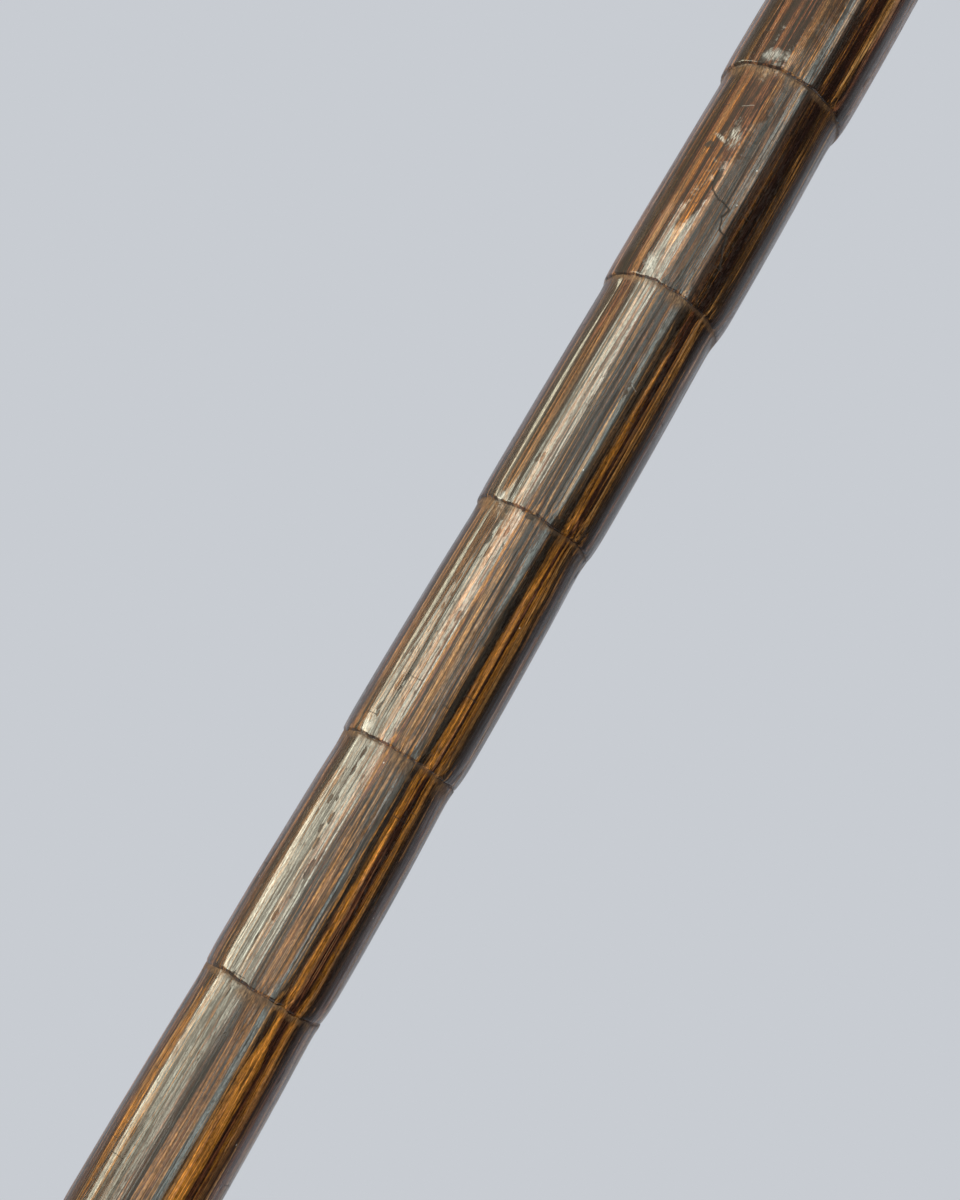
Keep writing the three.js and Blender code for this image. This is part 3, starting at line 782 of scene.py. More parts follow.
@dataclass(frozen=True)
class HandleWood:
    """The same palm wood with its grain along the grip, rubbed glossy by the hand and darker at its foot and
    round the pin.
    """

    roughness: float = 0.17
    handled_roughness: float = 0.26
    worn_roughness: float = 0.42
    foot_height: float = 0.862
    handled_from: float = 0.895
    handled_to: float = 0.912
    pin_height: float = 0.873
    pin_radius: float = 1.5 * MM

    def build(self, grain: bpy.types.NodeTree, wear: bpy.types.NodeTree) -> bpy.types.Material:
        """Builds the material.

        Args:
            grain: the palm grain group.
            wear: the varnish wear group.

        Returns:
            The material.
        """
        constants = {"Coat Roughness": 0.06, "Coat IOR": 1.7, "IOR": 1.5, "Specular IOR Level": 0.4}
        surface = Surface.new("handle_wood", constants)
        net, tone = surface.net, WoodTone
        x, y, z = net.split(surface.place)
        along = net.join(z + x * x * 2.2, y, x)
        wood = net.use(grain, {"Vector": along, "Lightness": 0.01, "Waviness": 2.6, "Offset": 310.0})
        worn = net.use(wear, {"Vector": along, "Amount": 0.55})

        facing = net.split(net.add("ShaderNodeTexCoord", out="Normal"))[0]
        cross = net.join(x * 0.12, y, z)
        dots, dot_tone, _, _ = net.cells(cross, 950.0, 0.9)
        ground = net.noise(cross, 300.0, 3.0)
        bundle = dots.span(0.42, 0.30) * dot_tone.span(0.1, 0.5, 0.35, 0.95)
        ends = net.mix(bundle, net.ramp(ground, END_GRAIN), tone.BUNDLE_END.value)
        cut = (abs(facing) + (ground - MEAN) * 0.5).span(0.42, 0.72, smooth=True)
        slow = net.noise(surface.place, 60.0, 3.0)
        rough = net.noise(surface.place, 1100.0, 3.0, 0.6) - MEAN
        handled = z.span(self.handled_from, self.handled_to, smooth=True) * slow.span(0.36, 0.6)
        foot = ((z - self.foot_height) * PER_METRE + rough * 2.0).span(1.3, 0.2)
        away = net.measure("LENGTH", net.join(x, z - self.pin_height, 0.0)) + rough * (0.4 * MM)
        rim = away.span(self.pin_radius + 0.7 * MM, self.pin_radius + 0.15 * MM)
        # Darker at the grip's foot, where it meets the horn ring, and round the pin hole.
        darkened = net.largest(foot * 0.8, rim * 0.85)

        colour = net.mix(cut, wood["Color"], ends)
        colour = net.painted(
            colour,
            (handled, 0.55, net.tinted(colour, tone.POLISHED.value)),
            (worn["Pitted"], 0.6, tone.HANDLE_PITTED.value),
            (worn["Cracked"], 0.7, tone.CRACKED.value),
            (darkened, 1.0, tone.HANDLE_FOOT_DARK.value),
        )
        surface.feed("Base Color", colour)
        lost = net.largest(darkened, worn["Flaked"], worn["Pitted"], worn["Cracked"])
        surface.feed("Coat Weight", worn["Gloss"] * handled.between(0.75, 0.3) * lost.between(1.0, 0.1))
        gloss = handled.between(self.roughness, self.handled_roughness) + slow.span(0.4, 0.6, 0.0, 0.05)
        surface.feed("Roughness", net.blend(lost, gloss, self.worn_roughness))
        return surface.finish(worn["Height"] + wood["Relief"] * 0.008 - rim * 0.05)


def metal_wear_group() -> bpy.types.NodeTree:
    """Builds the wear of handled metal: clouds of tarnish, dark recesses, rubbed edges, pits and rub marks.

    Returns:
        A group with masks of the tarnished and the rubbed places, and the surface's height in millimetres.
    """
    inputs = {"Vector": (VECTOR, None), "Edge": (FLOAT, 0.0), "Tarnish": (FLOAT, 0.5), "Pits": (FLOAT, 1.0)}
    outputs = dict.fromkeys(("Tarnished", "Rubbed", "Height"), FLOAT)
    net, given = new_group("metal_wear", inputs, outputs)
    place = net.scaled(given["Vector"], PER_METRE)
    x, y, z = net.split(place)
    clouds = net.noise(place, 0.22, 4.0, 0.6)
    mottle = net.noise(place, 1.3, 3.0, 0.6)
    turning = net.noise(net.join(x * 0.22, y * 0.22, z * 7.0), 1.0, 3.0, 0.6)
    nicks = net.noise(net.join((x + z) * 5.0, y * 5.0, z * 0.35), 1.0, 1.0)
    edge = given["Edge"] + (mottle - MEAN) * 1.2
    recess = edge.span(-0.10, -0.75, smooth=True)
    rubbed = edge.span(0.25, 0.80, smooth=True)
    distance, chance, _, _ = net.cells(place, 0.8)
    pit = distance.span(0.20, 0.10) * chance.above(0.72) * given["Pits"]
    cloudy = (clouds + mottle * 0.35).span(0.56, 0.80, smooth=True) * given["Tarnish"]
    streaked = turning.span(0.50, 0.66) * (given["Tarnish"] * 0.6)
    tarnished = net.largest(recess, pit, cloudy, streaked) * rubbed.between(1.0, 0.15)
    scratch = nicks.span(0.64, 0.70) * 0.8
    height = (turning - MEAN) * 0.006 + (mottle - MEAN) * 0.016 - pit * 0.05 - scratch * 0.006
    net.node("NodeGroupOutput", dict(zip(outputs, (tarnished, net.largest(rubbed, scratch * 0.5), height))))
    return net.tree


@dataclass(frozen=True)
class WornMetal:
    """A metal with tarnish in its recesses and bright rubbed edges, threaded or plain."""

    name: str
    polished: Colour
    plain: Colour
    tarnished: Colour
    roughness: float = 0.30
    tarnish: float = 0.5
    pits: float = 1.0
    thread_pitch: float = 0.0

    def build(self, wear: bpy.types.NodeTree) -> bpy.types.Material:
        """Builds the material.

        Args:
            wear: the metal wear group.

        Returns:
            The material, with its thread if it has one.
        """
        surface = Surface.new(self.name, {"IOR": 1.5})
        net, edge = surface.net, surface.carried("edge")
        inputs = {"Vector": surface.place, "Edge": edge, "Tarnish": self.tarnish, "Pits": self.pits}
        worn = net.use(wear, inputs)
        colour = net.mix(worn["Rubbed"], self.plain, self.polished)
        surface.feed("Base Color", net.mix(worn["Tarnished"], colour, self.tarnished))
        surface.feed("Metallic", worn["Tarnished"].between(1.0, 0.55))
        rubbed = worn["Rubbed"].between(self.roughness, self.roughness - 0.10)
        surface.feed("Roughness", net.blend(worn["Tarnished"], rubbed, 0.56))
        height = worn["Height"]
        if self.thread_pitch:
            x, y, z = net.split(surface.place)
            turn = net.math("ARCTAN2", y, x) / math.tau + z / self.thread_pitch
            height = height + net.math("PINGPONG", turn, 0.5) * (self.thread_pitch * PER_METRE)
        return surface.finish(height)


@dataclass(frozen=True)
class PolishedHorn:
    """Dark horn, polished, with amber veins that run round the ring."""

    rubbed: Colour = (0.13, 0.10, 0.07)

    def build(self) -> bpy.types.Material:
        """Builds the material.

        Returns:
            The material.
        """
        surface = Surface.new("polished_horn", {"Coat Roughness": 0.08, "Coat IOR": 1.5, "IOR": 1.54})
        net = surface.net
        x, y, z = net.split(net.scaled(surface.place, PER_METRE))
        veins = net.noise(net.join(x * 0.10, y * 0.10, (z + x * 0.05) * 1.6), 1.0, 4.0, 0.6)
        fine = net.noise(surface.place, 1500.0)
        rubbed = (surface.carried("edge") + fine * 0.6).span(0.8, 1.3)
        surface.feed("Base Color", net.painted(net.ramp(veins, HORN_LAYERS), (rubbed, 0.5, self.rubbed)))
        surface.feed("Coat Weight", fine.span(0.35, 0.65, 0.7, 0.35))
        surface.feed("Roughness", fine.span(0.35, 0.65, 0.22, 0.34))
        return surface.finish(veins * 0.02 + fine * 0.006)


@dataclass(frozen=True)
class DustyRubber:
    """Matt moulded rubber: grey dust in its grooves, scuffed edges and a fine mould grain."""

    dark: Colour = (0.018, 0.018, 0.019)
    light: Colour = (0.030, 0.030, 0.031)
    scuffed: Colour = (0.085, 0.083, 0.080)
    dust: Colour = (0.20, 0.185, 0.16)

    def build(self) -> bpy.types.Material:
        """Builds the material.

        Returns:
            The material.
        """
        surface = Surface.new("dusty_rubber", {"IOR": 1.5, "Specular IOR Level": 0.3})
        net = surface.net
        place = net.scaled(surface.place, PER_METRE)
        clouds = net.noise(place, 0.20, 4.0, 0.65)
        grit = net.noise(place, 5.0, 3.0, 0.7)
        uneven = surface.carried("edge") + (grit - MEAN) * 1.6
        low = net.split(place)[2].span(9.0, 1.0) * clouds.span(0.40, 0.60)
        dust = net.largest(uneven.span(-0.15, -0.9), low * 0.75, clouds.span(0.58, 0.75, 0.0, 0.4))
        dust = dust * grit.span(0.35, 0.6, 0.25, 1.0)
        colour = net.mix(clouds.span(0.3, 0.7), self.dark, self.light)
        colour = net.painted(colour, (uneven.span(0.35, 1.0), 0.6, self.scuffed), (dust, 0.75, self.dust))
        surface.feed("Base Color", colour)
        surface.feed("Roughness", dust * 0.28 + 0.62)
        return surface.finish(grit * 0.02 + net.noise(place, 1.2) * 0.03)


@dataclass(frozen=True)
class Outline:
    """A half section of a turned piece: radius and height of its points, and what each point carries."""

    points: np.ndarray
    values: dict[str, np.ndarray]


def half_section(node: str, azimuth: float) -> list[tuple[Point, Point]]:
    """Cuts a CAD node by a half plane through the cane's axis.

    Args:
        node: the CAD node's name.
        azimuth: the half plane's angle about the axis, in degrees.

    Returns:
        The cut's edges, each as its two ends (radius, height) in metres.
    """
    section = bmesh.new()
    section.from_mesh(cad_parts[node].data)
    bmesh.ops.transform(section, matrix=Matrix.Rotation(-math.radians(azimuth), 4, "Z"), verts=section.verts)
    bmesh.ops.remove_doubles(section, verts=section.verts, dist=WELD)
    everything = section.verts[:] + section.edges[:] + section.faces[:]
    cut = bmesh.ops.bisect_plane(section, geom=everything, plane_co=(0, 0, 0), plane_no=(0, 1, 0), dist=TOUCH)
    edges = []
    for edge in (e for e in cut["geom_cut"] if isinstance(e, bmesh.types.BMEdge)):
        a, b = (Vector((v.co.x, v.co.z)) for v in edge.verts)
        if a.x < b.x:
            a, b = b, a
        if a.x <= ON_AXIS:
            continue
        if b.x < 0.0:
            b = a + (b - a) * (a.x / (a.x - b.x))
        edges.append(tuple(tuple(round(c, 7) for c in point) for point in (a, b)))
    section.free()
    return [(a, b) for a, b in edges if a != b]


def chained(edges: list[tuple[Point, Point]]) -> tuple[list[Point], bool]:
    """Joins edges end to end.

    Args:
        edges: each edge's two ends.

    Returns:
        The points in order, and whether they are a ring, whose first point is repeated at the end.
    """
    links: dict[Point, list[Point]] = {}
    for a, b in edges:
        links.setdefault(a, []).append(b)
        links.setdefault(b, []).append(a)
    ends = [p for p, others in links.items() if len(others) == 1]
    path = [ends[0] if ends else max(links)]
    seen = set(path)
    while onward := [p for p in links[path[-1]] if p not in seen]:
        path.append(onward[0])
        seen.add(onward[0])
    return (path, False) if ends else (path + path[:1], True)


def meridian(node: str, azimuth: float) -> np.ndarray:
    """Reads the outline of a turned CAD node on a half plane through the cane's axis.

    Args:
        node: the CAD node's name.
        azimuth: the half plane's angle about the axis, in degrees.

    Returns:
        Rows of (radius, height) in metres, anticlockwise, so that the outer side goes up. A ring's first
        point is repeated at the end.
    """
    path, ring = chained(half_section(node, azimuth))
    points = np.array(path, float)
    keep = [0]
    for i in range(1, len(points) - 1):
        a, b, c = points[keep[-1]], points[i], points[i + 1]
        area = (b[0] - a[0]) * (c[1] - a[1]) - (b[1] - a[1]) * (c[0] - a[0])
        if abs(area) > STRAIGHT:
            keep.append(i)
    points = points[keep + [len(points) - 1]]
    loop = points if ring else np.vstack([points, [0.0, points[-1, 1]], [0.0, points[0, 1]], points[:1]])
    turn = np.sum(loop[:-1, 0] * loop[1:, 1] - loop[1:, 0] * loop[:-1, 1])
    return points if turn > 0 else points[::-1]


def levels(node: str, thinnest: float) -> np.ndarray:
    """Reads how wide a turned CAD node is at each height of its vertices.

    Args:
        node: the CAD node's name.
        thinnest: heights with a smaller radius than this are left out, in metres.

    Returns:
        Rows of (radius, height) in metres, from the lowest up.
    """
    widest: dict[float, float] = {}
    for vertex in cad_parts[node].data.vertices:
        height = round(vertex.co.z, 6)
        widest[height] = max(widest.get(height, 0.0), math.hypot(vertex.co.x, vertex.co.y))
    return np.array([(r, z) for z, r in sorted(widest.items()) if r > thinnest])


def rounded(points: np.ndarray, radius: float, steps: int = 3) -> Outline:
    """Rounds the corners of an outline and marks its edges.

    Args:
        points: rows of (radius, height).
        radius: the largest rounding, in metres.
        steps: the number of points in a corner, less one.

    Returns:
        The outline, with the value "edge": 1 on an outer corner, -1 in an inner one and 0 elsewhere.
    """
    least_turn, full_turn = math.radians(18), 1.2
    most_cut, spare = 0.42, 0.3
    ring = bool(np.allclose(points[0], points[-1]))
    count = len(points)
    made: list[tuple[float, float, float]] = []
    for i in range(count - 1 if ring else count):
        here = points[i]
        if not ring and i in (0, count - 1):
            made.append((here[0], here[1], 0.0))
            continue
        before = points[i - 1] if i else points[-2]
        after = points[i + 1]
        a, b = here - before, after - here
        la, lb = np.linalg.norm(a), np.linalg.norm(b)
        turn = math.atan2(a[0] * b[1] - a[1] * b[0], float(a @ b))
        if abs(turn) < least_turn:
            made.append((here[0], here[1], 0.0))
            continue
        reach = min(radius * math.tan(abs(turn) / 2), most_cut * la, most_cut * lb)
        start, end = here - a / la * reach, here + b / lb * reach
        sign = math.copysign(min(1.0, abs(turn) / full_turn), turn)
        support = min(reach, spare * (la - reach), spare * (lb - reach))
        made.append((*(start - a / la * support), 0.0))
        for k in range(steps + 1):
            t = k / steps
            p = (1 - t) ** 2 * start + 2 * t * (1 - t) * here + t * t * end
            made.append((p[0], p[1], sign))
        made.append((*(end + b / lb * support), 0.0))
    if ring:
        made.append(made[0])
    table = np.array(made)
    return Outline(table[:, :2], {"edge": table[:, 2]})


def placed(name: str, data: bpy.types.ID) -> bpy.types.Object:
    """Makes an object and puts it in the scene.

    Args:
        name: its name.
        data: its mesh, lamp or camera.

    Returns:
        The object.
    """
    made = bpy.data.objects.new(name, data)
    bpy.context.scene.collection.objects.link(made)
    return made


def shaped(name: str, shape: bmesh.types.BMesh) -> bpy.types.Object:
    """Makes a mesh object.

    Args:
        name: its name and its mesh's.
        shape: the finished shape, which is freed.

    Returns:
        The object.
    """
    mesh = bpy.data.meshes.new(name)
    shape.to_mesh(mesh)
    shape.free()
    return placed(name, mesh)


def baked(name: str, source: bpy.types.Object) -> bpy.types.Mesh:
    """Applies an object's modifiers.

    Args:
        name: the new mesh's name.
        source: the object, which stays as it is.

    Returns:
        The mesh that the modifiers make.
    """
    mesh = bpy.data.meshes.new_from_object(source.evaluated_get(bpy.context.evaluated_depsgraph_get()))
    mesh.name = name
    return mesh


class TurnedForm:
    """Geometry Nodes that turn an outline round the cane's axis, with a carver's small errors."""

    STORED = ("edge", "above", "below")
    READ = STORED + ("ring", "hold", "carved", "under", "neck", "rope", "lip")
    SETTINGS = (
        "Wander", "Ring Shift", "Undercut", "Offset", "Lip Wear", "Rope Strands", "Rope Lean", "Rope Depth",
        "Seed",
    )

    def __init__(self) -> None:
        """Builds the node tree."""
        inputs = {"Geometry": ("NodeSocketGeometry", None), "Sides": ("NodeSocketInt", 96)}
        inputs |= dict.fromkeys(self.SETTINGS, (FLOAT, 0.0)) | {"Material": ("NodeSocketMaterial", None)}
        net, given = new_group("turned_form", inputs, {"Geometry": "NodeSocketGeometry"}, "GeometryNodeTree")
        self.tree = net.tree
        outline, sides = given["Geometry"], given["Sides"]
        rows = net.add("GeometryNodeAttributeDomainSize", {0: outline}, "Point Count")
        body = net.add("GeometryNodeMeshGrid", {"Vertices X": sides + 1.0, "Vertices Y": rows}, "Mesh")
        index = net.add("GeometryNodeInputIndex")
        column = net.math("FLOOR", (index + 0.5) / rows)
        row = index - column * rows

        def value_of(sockets: bpy.types.bpy_prop_collection) -> bpy.types.NodeSocket:
            """Returns the socket called Value that is in use."""
            return next(s for s in sockets if s.name == "Value" and s.enabled)

        def sampled(value: Value, kind: str) -> Value:
            """Returns the outline's value at the grid vertex's row."""
            node = net.node("GeometryNodeSampleIndex", {0: outline, "Index": row}, data_type=kind)
            net.tree.links.new(value.socket, value_of(node.inputs))
            return Value(net, value_of(node.outputs))

        def carried(name: str) -> Value:
            """Returns a named value of the outline at the grid vertex's row."""
            attribute = net.add("GeometryNodeInputNamedAttribute", {"Name": name}, data_type="FLOAT")
            return sampled(attribute, "FLOAT")

        radius, _, height = net.split(sampled(net.add("GeometryNodeInputPosition"), "FLOAT_VECTOR"))
        angle = column / sides * math.tau
        cosine, sine = net.math("COSINE", angle), net.math("SINE", angle)

        def around(turns: float, along: Value) -> Value:
            """Returns a value between -1 and 1 that changes round the axis and along the given value."""
            vector = net.join(cosine * turns, sine * turns, along + given["Seed"])
            return (net.noise(vector, 1.0, 1.5) - MEAN) * 2.0

        ring = carried("ring") * 5.31
        shift = around(1.1, ring) + around(6.5, ring) * 0.40 + around(17.0, ring) * 0.28
        height = height + shift * given["Ring Shift"] * carried("hold")
        swell = around(1.6, height * 28.0) + around(4.5, height * 45.0) * 0.45
        notch = around(5.0, ring + 2.7) * carried("under")
        swell = swell * given["Wander"] * carried("carved") + notch * given["Undercut"]
        radius = radius + (swell - cosine * given["Offset"] * carried("neck"))
        worn = (cosine * 0.55 + around(1.7, ring + 9.1) * 0.9).span(-0.45, 0.65, 0.10, 1.0, smooth=True)
        radius = radius - worn * given["Lip Wear"] * carried("lip")
        phase = angle * given["Rope Strands"] + height * given["Rope Lean"]
        valley = (1.0 - abs(net.math("COSINE", phase * 0.5))) * carried("rope")
        radius = radius - valley * given["Rope Depth"]
        place = net.join(radius * cosine, radius * sine, height)
        body = net.add("GeometryNodeSetPosition", {"Geometry": body, "Position": place})
        for name in self.STORED:
            value = carried(name)
            if name == "edge":
                value = value - valley * 1.3
            inputs = {"Geometry": body, "Name": name}
            node = net.node("GeometryNodeStoreNamedAttribute", inputs, data_type="FLOAT", domain="POINT")
            net.tree.links.new(value.socket, value_of(node.inputs))
            body = Value(net, node.outputs[0])
        for kind, inputs in (
            ("MergeByDistance", {"Distance": WELD}),
            ("SetShadeSmooth", {}),
            ("RealizeInstances", {}),
            ("SetMaterial", {"Material": given["Material"]}),
        ):
            body = net.add("GeometryNode" + kind, {"Geometry": body} | inputs)
        net.node("NodeGroupOutput", {"Geometry": body})

    def make(
        self, name: str, outline: Outline, material: bpy.types.Material, **settings: float
    ) -> bpy.types.Object:
        """Turns an outline into a mesh piece.

        Args:
            name: the piece's name.
            outline: the half section.
            material: the piece's finish.
            settings: values of the tree's named inputs, with _ for a space.

        Returns:
            The piece, a plain mesh at the origin.
        """
        mesh = bpy.data.meshes.new(name + "_outline")
        points = [(float(r), 0.0, float(z)) for r, z in outline.points]
        mesh.from_pydata(points, [(i, i + 1) for i in range(len(points) - 1)], [])
        for label in self.READ:
            values = outline.values.get(label, np.zeros(len(points)))
            mesh.attributes.new(label, "FLOAT", "POINT").data.foreach_set("value", values.astype(np.float32))
        source = placed(mesh.name, mesh)
        modifier = source.modifiers.new("turned_form", "NODES")
        modifier.node_group = self.tree
        wanted = {key.replace("_", " "): value for key, value in settings.items()} | {"Material": material}
        for item in self.tree.interface.items_tree:
            if item.in_out == "INPUT" and item.name in wanted:
                modifier[item.identifier] = wanted[item.name]
        made = baked(name, source)
        bpy.data.objects.remove(source)
        return placed(name, made)


def seat(piece: bpy.types.Object, slot: Slot, *nodes: str) -> bpy.types.Object:
    """Fixes a finished piece to the frame and logs it.

    Args:
        piece: the piece.
        slot: its material slot; not used.
        nodes: the CAD nodes that it stands for.

    Returns:
        The same piece.
    """
    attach(piece, "root")
    if nodes:
        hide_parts(*nodes)
    LOG.info("%s: %d faces", piece.name, len(piece.data.polygons))
    return piece


def dress(node: str, slot: Slot, material: bpy.types.Material) -> None:
    """Gives a CAD node that stays its finish.

    Args:
        node: the node's name.
        slot: its material slot.
        material: the finish.
    """
    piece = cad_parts[node]
    piece.data.materials.clear()
    piece.data.materials.append(material)
    LOG.info("%s: kept from CAD, %s", node, slot.value)


def monotone(x: np.ndarray, y: np.ndarray, at: np.ndarray) -> np.ndarray:
    """Lays a smooth curve through points, which never overshoots them.

    Args:
        x: the points' places, rising.
        y: their values.
        at: the places to read.

    Returns:
        The curve's values at those places.
    """
    step, slope = np.diff(x), np.diff(y) / np.diff(x)
    tangent = np.zeros(len(x))
    for i in range(1, len(x) - 1):
        if slope[i - 1] * slope[i] > 0:
            a, b = 2 * step[i] + step[i - 1], step[i] + 2 * step[i - 1]
            tangent[i] = (a + b) / (a / slope[i - 1] + b / slope[i])
    tangent[0], tangent[-1] = slope[0], slope[-1]
    i = np.clip(np.searchsorted(x, at) - 1, 0, len(x) - 2)
    t = (at - x[i]) / step[i]
    return (
        y[i] * (1 + 2 * t) * (1 - t) ** 2
        + tangent[i] * step[i] * t * (1 - t) ** 2
        + y[i + 1] * t * t * (3 - 2 * t)
        + tangent[i + 1] * step[i] * t * t * (t - 1)
    )


def ease(share: float) -> float:
    """Returns a share from 0 to 1 with a soft start and end."""
    return share * share * (3 - 2 * share)


def bell(distance: float, width: float) -> float:
    """Returns a bell curve's height: 1 in its middle and a third at its width."""
    return math.exp(-((distance / width) ** 2))


@dataclass
class Shaft:
    """The carved shaft: its outline is the CAD node's, with finer steps and flares."""

    sides: int = 128
    wander: float = 0.06 * MM
    ring_shift: float = 0.9 * MM
    undercut: float = 0.03 * MM
    undercut_length: float = 1.4 * MM
    offset: float = 0.08 * MM
    offset_length: float = 14.0 * MM
    lip_round: float = 0.6 * MM
    lip_drop: float = 0.10 * MM
    lip_slope: float = 5.0 * MM
    lip_slope_drop: float = 0.16 * MM
    fillet: float = 0.12 * MM
    fillet_length: float = 1.6 * MM
    step_half: float = 0.50 * MM
    lip_wear: float = 0.42 * MM
    lip_wear_length: float = 2.6 * MM
    neck_fill: float = 0.40
    neck_fill_length: float = 1.9 * MM
    groove_depth: float = 0.02 * MM
    groove_length: float = 0.5 * MM
    hold_length: float = 9.0 * MM
    reach: float = 7.0 * MM
    coarse_row: float = 1.7 * MM
    rows_before_step: tuple[float, ...] = (
        -5.2, -3.8, -2.8, -2.1, -1.55, -1.15, -0.82, -0.62, -0.50, -0.36, -0.22, -0.13, -0.05,
    )
    rows_after_step: tuple[float, ...] = (
        0.0, 0.05, 0.13, 0.22, 0.36, 0.50, 0.66, 0.85, 1.2, 1.7, 2.4, 3.4, 5.0, 7.0,
    )
    least_step: float = 0.15 * MM
    longest_step: float = 0.7 * MM
    carving: tuple[float, float] = (61.4 * MM, 835.2 * MM)
    thinnest: float = 8.5 * MM
    least_shoulder: float = 1.0 * MM
    shoulder_slack: float = 0.01 * MM
    seed: float = 4.0

    def heights(self, lip: float, top: float, last: bool) -> np.ndarray:
        """Spaces a segment's rows, close together at its steps.

        Args:
            lip: the height of the step below.
            top: the height of the step above, or of the segment's end.
            last: whether no step follows.

        Returns:
            The rows' heights.
        """
        places = [lip + d * MM for d in self.rows_after_step]
        spare = (top if last else top - self.reach) - places[-1]
        count = max(1, round(spare / self.coarse_row))
        places += [places[-1] + spare * (k + 1) / count for k in range(count)]
        if not last:
            places += [top + d * MM for d in self.rows_before_step]
        return np.array(places)

    def carved_radius(self, radius: float, past: float, left: float, under: float, lip_above: float) -> float:
        """Gives a place on a segment's plain flare its rounded lip, its sloping steps and its groove.

        Args:
            radius: the plain flare's radius there.
            past: how far the place is above the step below it.
            left: how far it is below the step above it.
            under: the radius of the neck below the lower step, or 0 where there is none.
            lip_above: the radius of the lip above the upper step.

        Returns:
            The carved radius.
        """
        if past < self.lip_round:
            radius -= self.lip_drop * (1 - math.sqrt(1 - (1 - past / self.lip_round) ** 2))
        if past < self.lip_slope:
            radius -= self.lip_slope_drop * (1 - past / self.lip_slope) ** 2
        groove = self.groove_depth * bell(left, self.groove_length)
        radius += self.fillet * bell(left, self.fillet_length) - groove
        if past < self.step_half and under:
            radius += (under + self.fillet - radius) * (1 - ease(0.5 + past / self.step_half / 2))
        if left < self.step_half:
            lip = lip_above - self.lip_drop - self.lip_slope_drop
            radius += (lip - radius) * ease(0.5 - left / self.step_half / 2)
        return radius

    def outline(self) -> Outline:
        """Reads the shaft's section and refines its carved part.

        Returns:
            The outline with the values that the turned form carries.
        """
        raw = meridian("shaft", SECTION_AZIMUTH)
        skin = levels("shaft", self.thinnest)
        skin = skin[(skin[:, 1] > self.carving[0]) & (skin[:, 1] < self.carving[1])]
        widens, rises = np.diff(skin, axis=0).T
        jumps = np.flatnonzero((widens > self.least_step) & (rises < self.longest_step)).tolist()
        lips = [(skin[i, 1] + skin[i + 1, 1]) / 2 for i in jumps]
        plain = (self.reach, self.reach, 0.0, 0.0, 0.0, 0.0, 0.0, 0.0)
        start = next(i for i, (r, z) in enumerate(raw) if r > self.thinnest and z > self.carving[0])
        rows: list[tuple[float, ...]] = [(r, z, *plain) for r, z in raw[: start + 1]]
        for number, (jump, lip, above) in enumerate(zip(jumps, lips, lips[1:] + [None])):
            part = skin[jump + 1 : jumps[number + 1] + 1] if above else skin[jump + 1 :]
            flare_z = np.concatenate([[lip], part[3:, 1]])
            flare_r = np.concatenate([[part[:4, 0].max()], part[3:, 0]])
            if above:
                flare_z[-1] = above
            places = self.heights(lip, flare_z[-1], not above)
            radii = monotone(flare_z, flare_r, np.clip(places, flare_z[0], flare_z[-1]))
            neck_below = skin[jump, 0] if number else 0.0
            lip_above = skin[jumps[number + 1] + 1, 0] if above else 0.0
            for z, flare in zip(places, radii):
                past, left = z - lip, (above - z) if above else 1.0
                r = self.carved_radius(flare, past, left, neck_below, lip_above)
                near = min(past, self.reach), min(left, self.reach)
                ring = float(number if past <= left else number + 1)
                hold = max(0.0, 1.0 - min(past, left) / self.hold_length) ** 2
                under, neck = bell(left, self.undercut_length), bell(left, self.offset_length)
                filled = self.neck_fill * math.exp(-left / self.neck_fill_length)
                worn = math.exp(-past / self.lip_wear_length) - filled
                rows.append((r, z, *near, ring, hold, 1.0, under, neck, worn))
        top_radius, top = skin[-1]
        shoulder = next(
            i for i, (r, z) in enumerate(raw)
            if z > top - self.shoulder_slack and r < top_radius - self.least_shoulder
        )
        rows += [(r, z, *plain) for r, z in raw[shoulder:]]
        table = np.array(rows)
        names = ("above", "below", "ring", "hold", "carved", "under", "neck", "lip")
        LOG.info("shaft outline: %d points, %d steps", len(table), len(lips))
        return Outline(table[:, :2], dict(zip(names, table[:, 2:].T)))

    def build(self, form: TurnedForm, material: bpy.types.Material) -> bpy.types.Object:
        """Makes the shaft and fixes it in place.

        Args:
            form: the node group that turns it.
            material: its wood.

        Returns:
            The shaft.
        """
        piece = form.make(
            "carved_shaft", self.outline(), material, Sides=self.sides, Wander=self.wander, Seed=self.seed,
            Ring_Shift=self.ring_shift, Undercut=self.undercut, Offset=self.offset, Lip_Wear=self.lip_wear,
        )
        return seat(piece, Slot.PALM_WOOD, "shaft")


def roped(points: np.ndarray, rows: int = 15) -> tuple[np.ndarray, float]:
    """Turns the square beads of a sleeve's outline into half-round ones.

    Args:
        points: a closed ring of (radius, height), anticlockwise.
        rows: the number of points across a bead.

    Returns:
        The new ring, and the radius of the plain sleeve between its beads.
    """
    least_bead, slack = 0.3 * MM, 0.05 * MM
    ring = np.roll(points[:-1], -int(np.argmin(points[:-1, 0])), axis=0)
    thickest = ring[:, 0].max()
    outer = ring[ring[:, 0] > (ring[:, 0].min() + thickest) / 2, 0]
    values, counts = np.unique(np.round(outer[outer < thickest - least_bead], 5), return_counts=True)
    sleeve = float(values[counts.argmax()])
    made: list[tuple[float, float]] = []
    i = 0
    while i < len(ring):
        if ring[i, 0] <= sleeve + slack:
            made.append(tuple(ring[i]))
            i += 1
            continue
        last = i
        while ring[last + 1, 0] > sleeve + slack:
            last += 1
        low, high = ring[i - 1, 1], ring[last + 1, 1]
        proud = ring[i : last + 1, 0].max() - sleeve
        for turn in np.linspace(0.0, math.pi, rows)[1:-1]:
            height = (low + high) / 2 - (high - low) / 2 * math.cos(turn)
            made.append((sleeve + proud * math.sin(turn), height))
        i = last + 1
    return np.array(made + made[:1]), sleeve


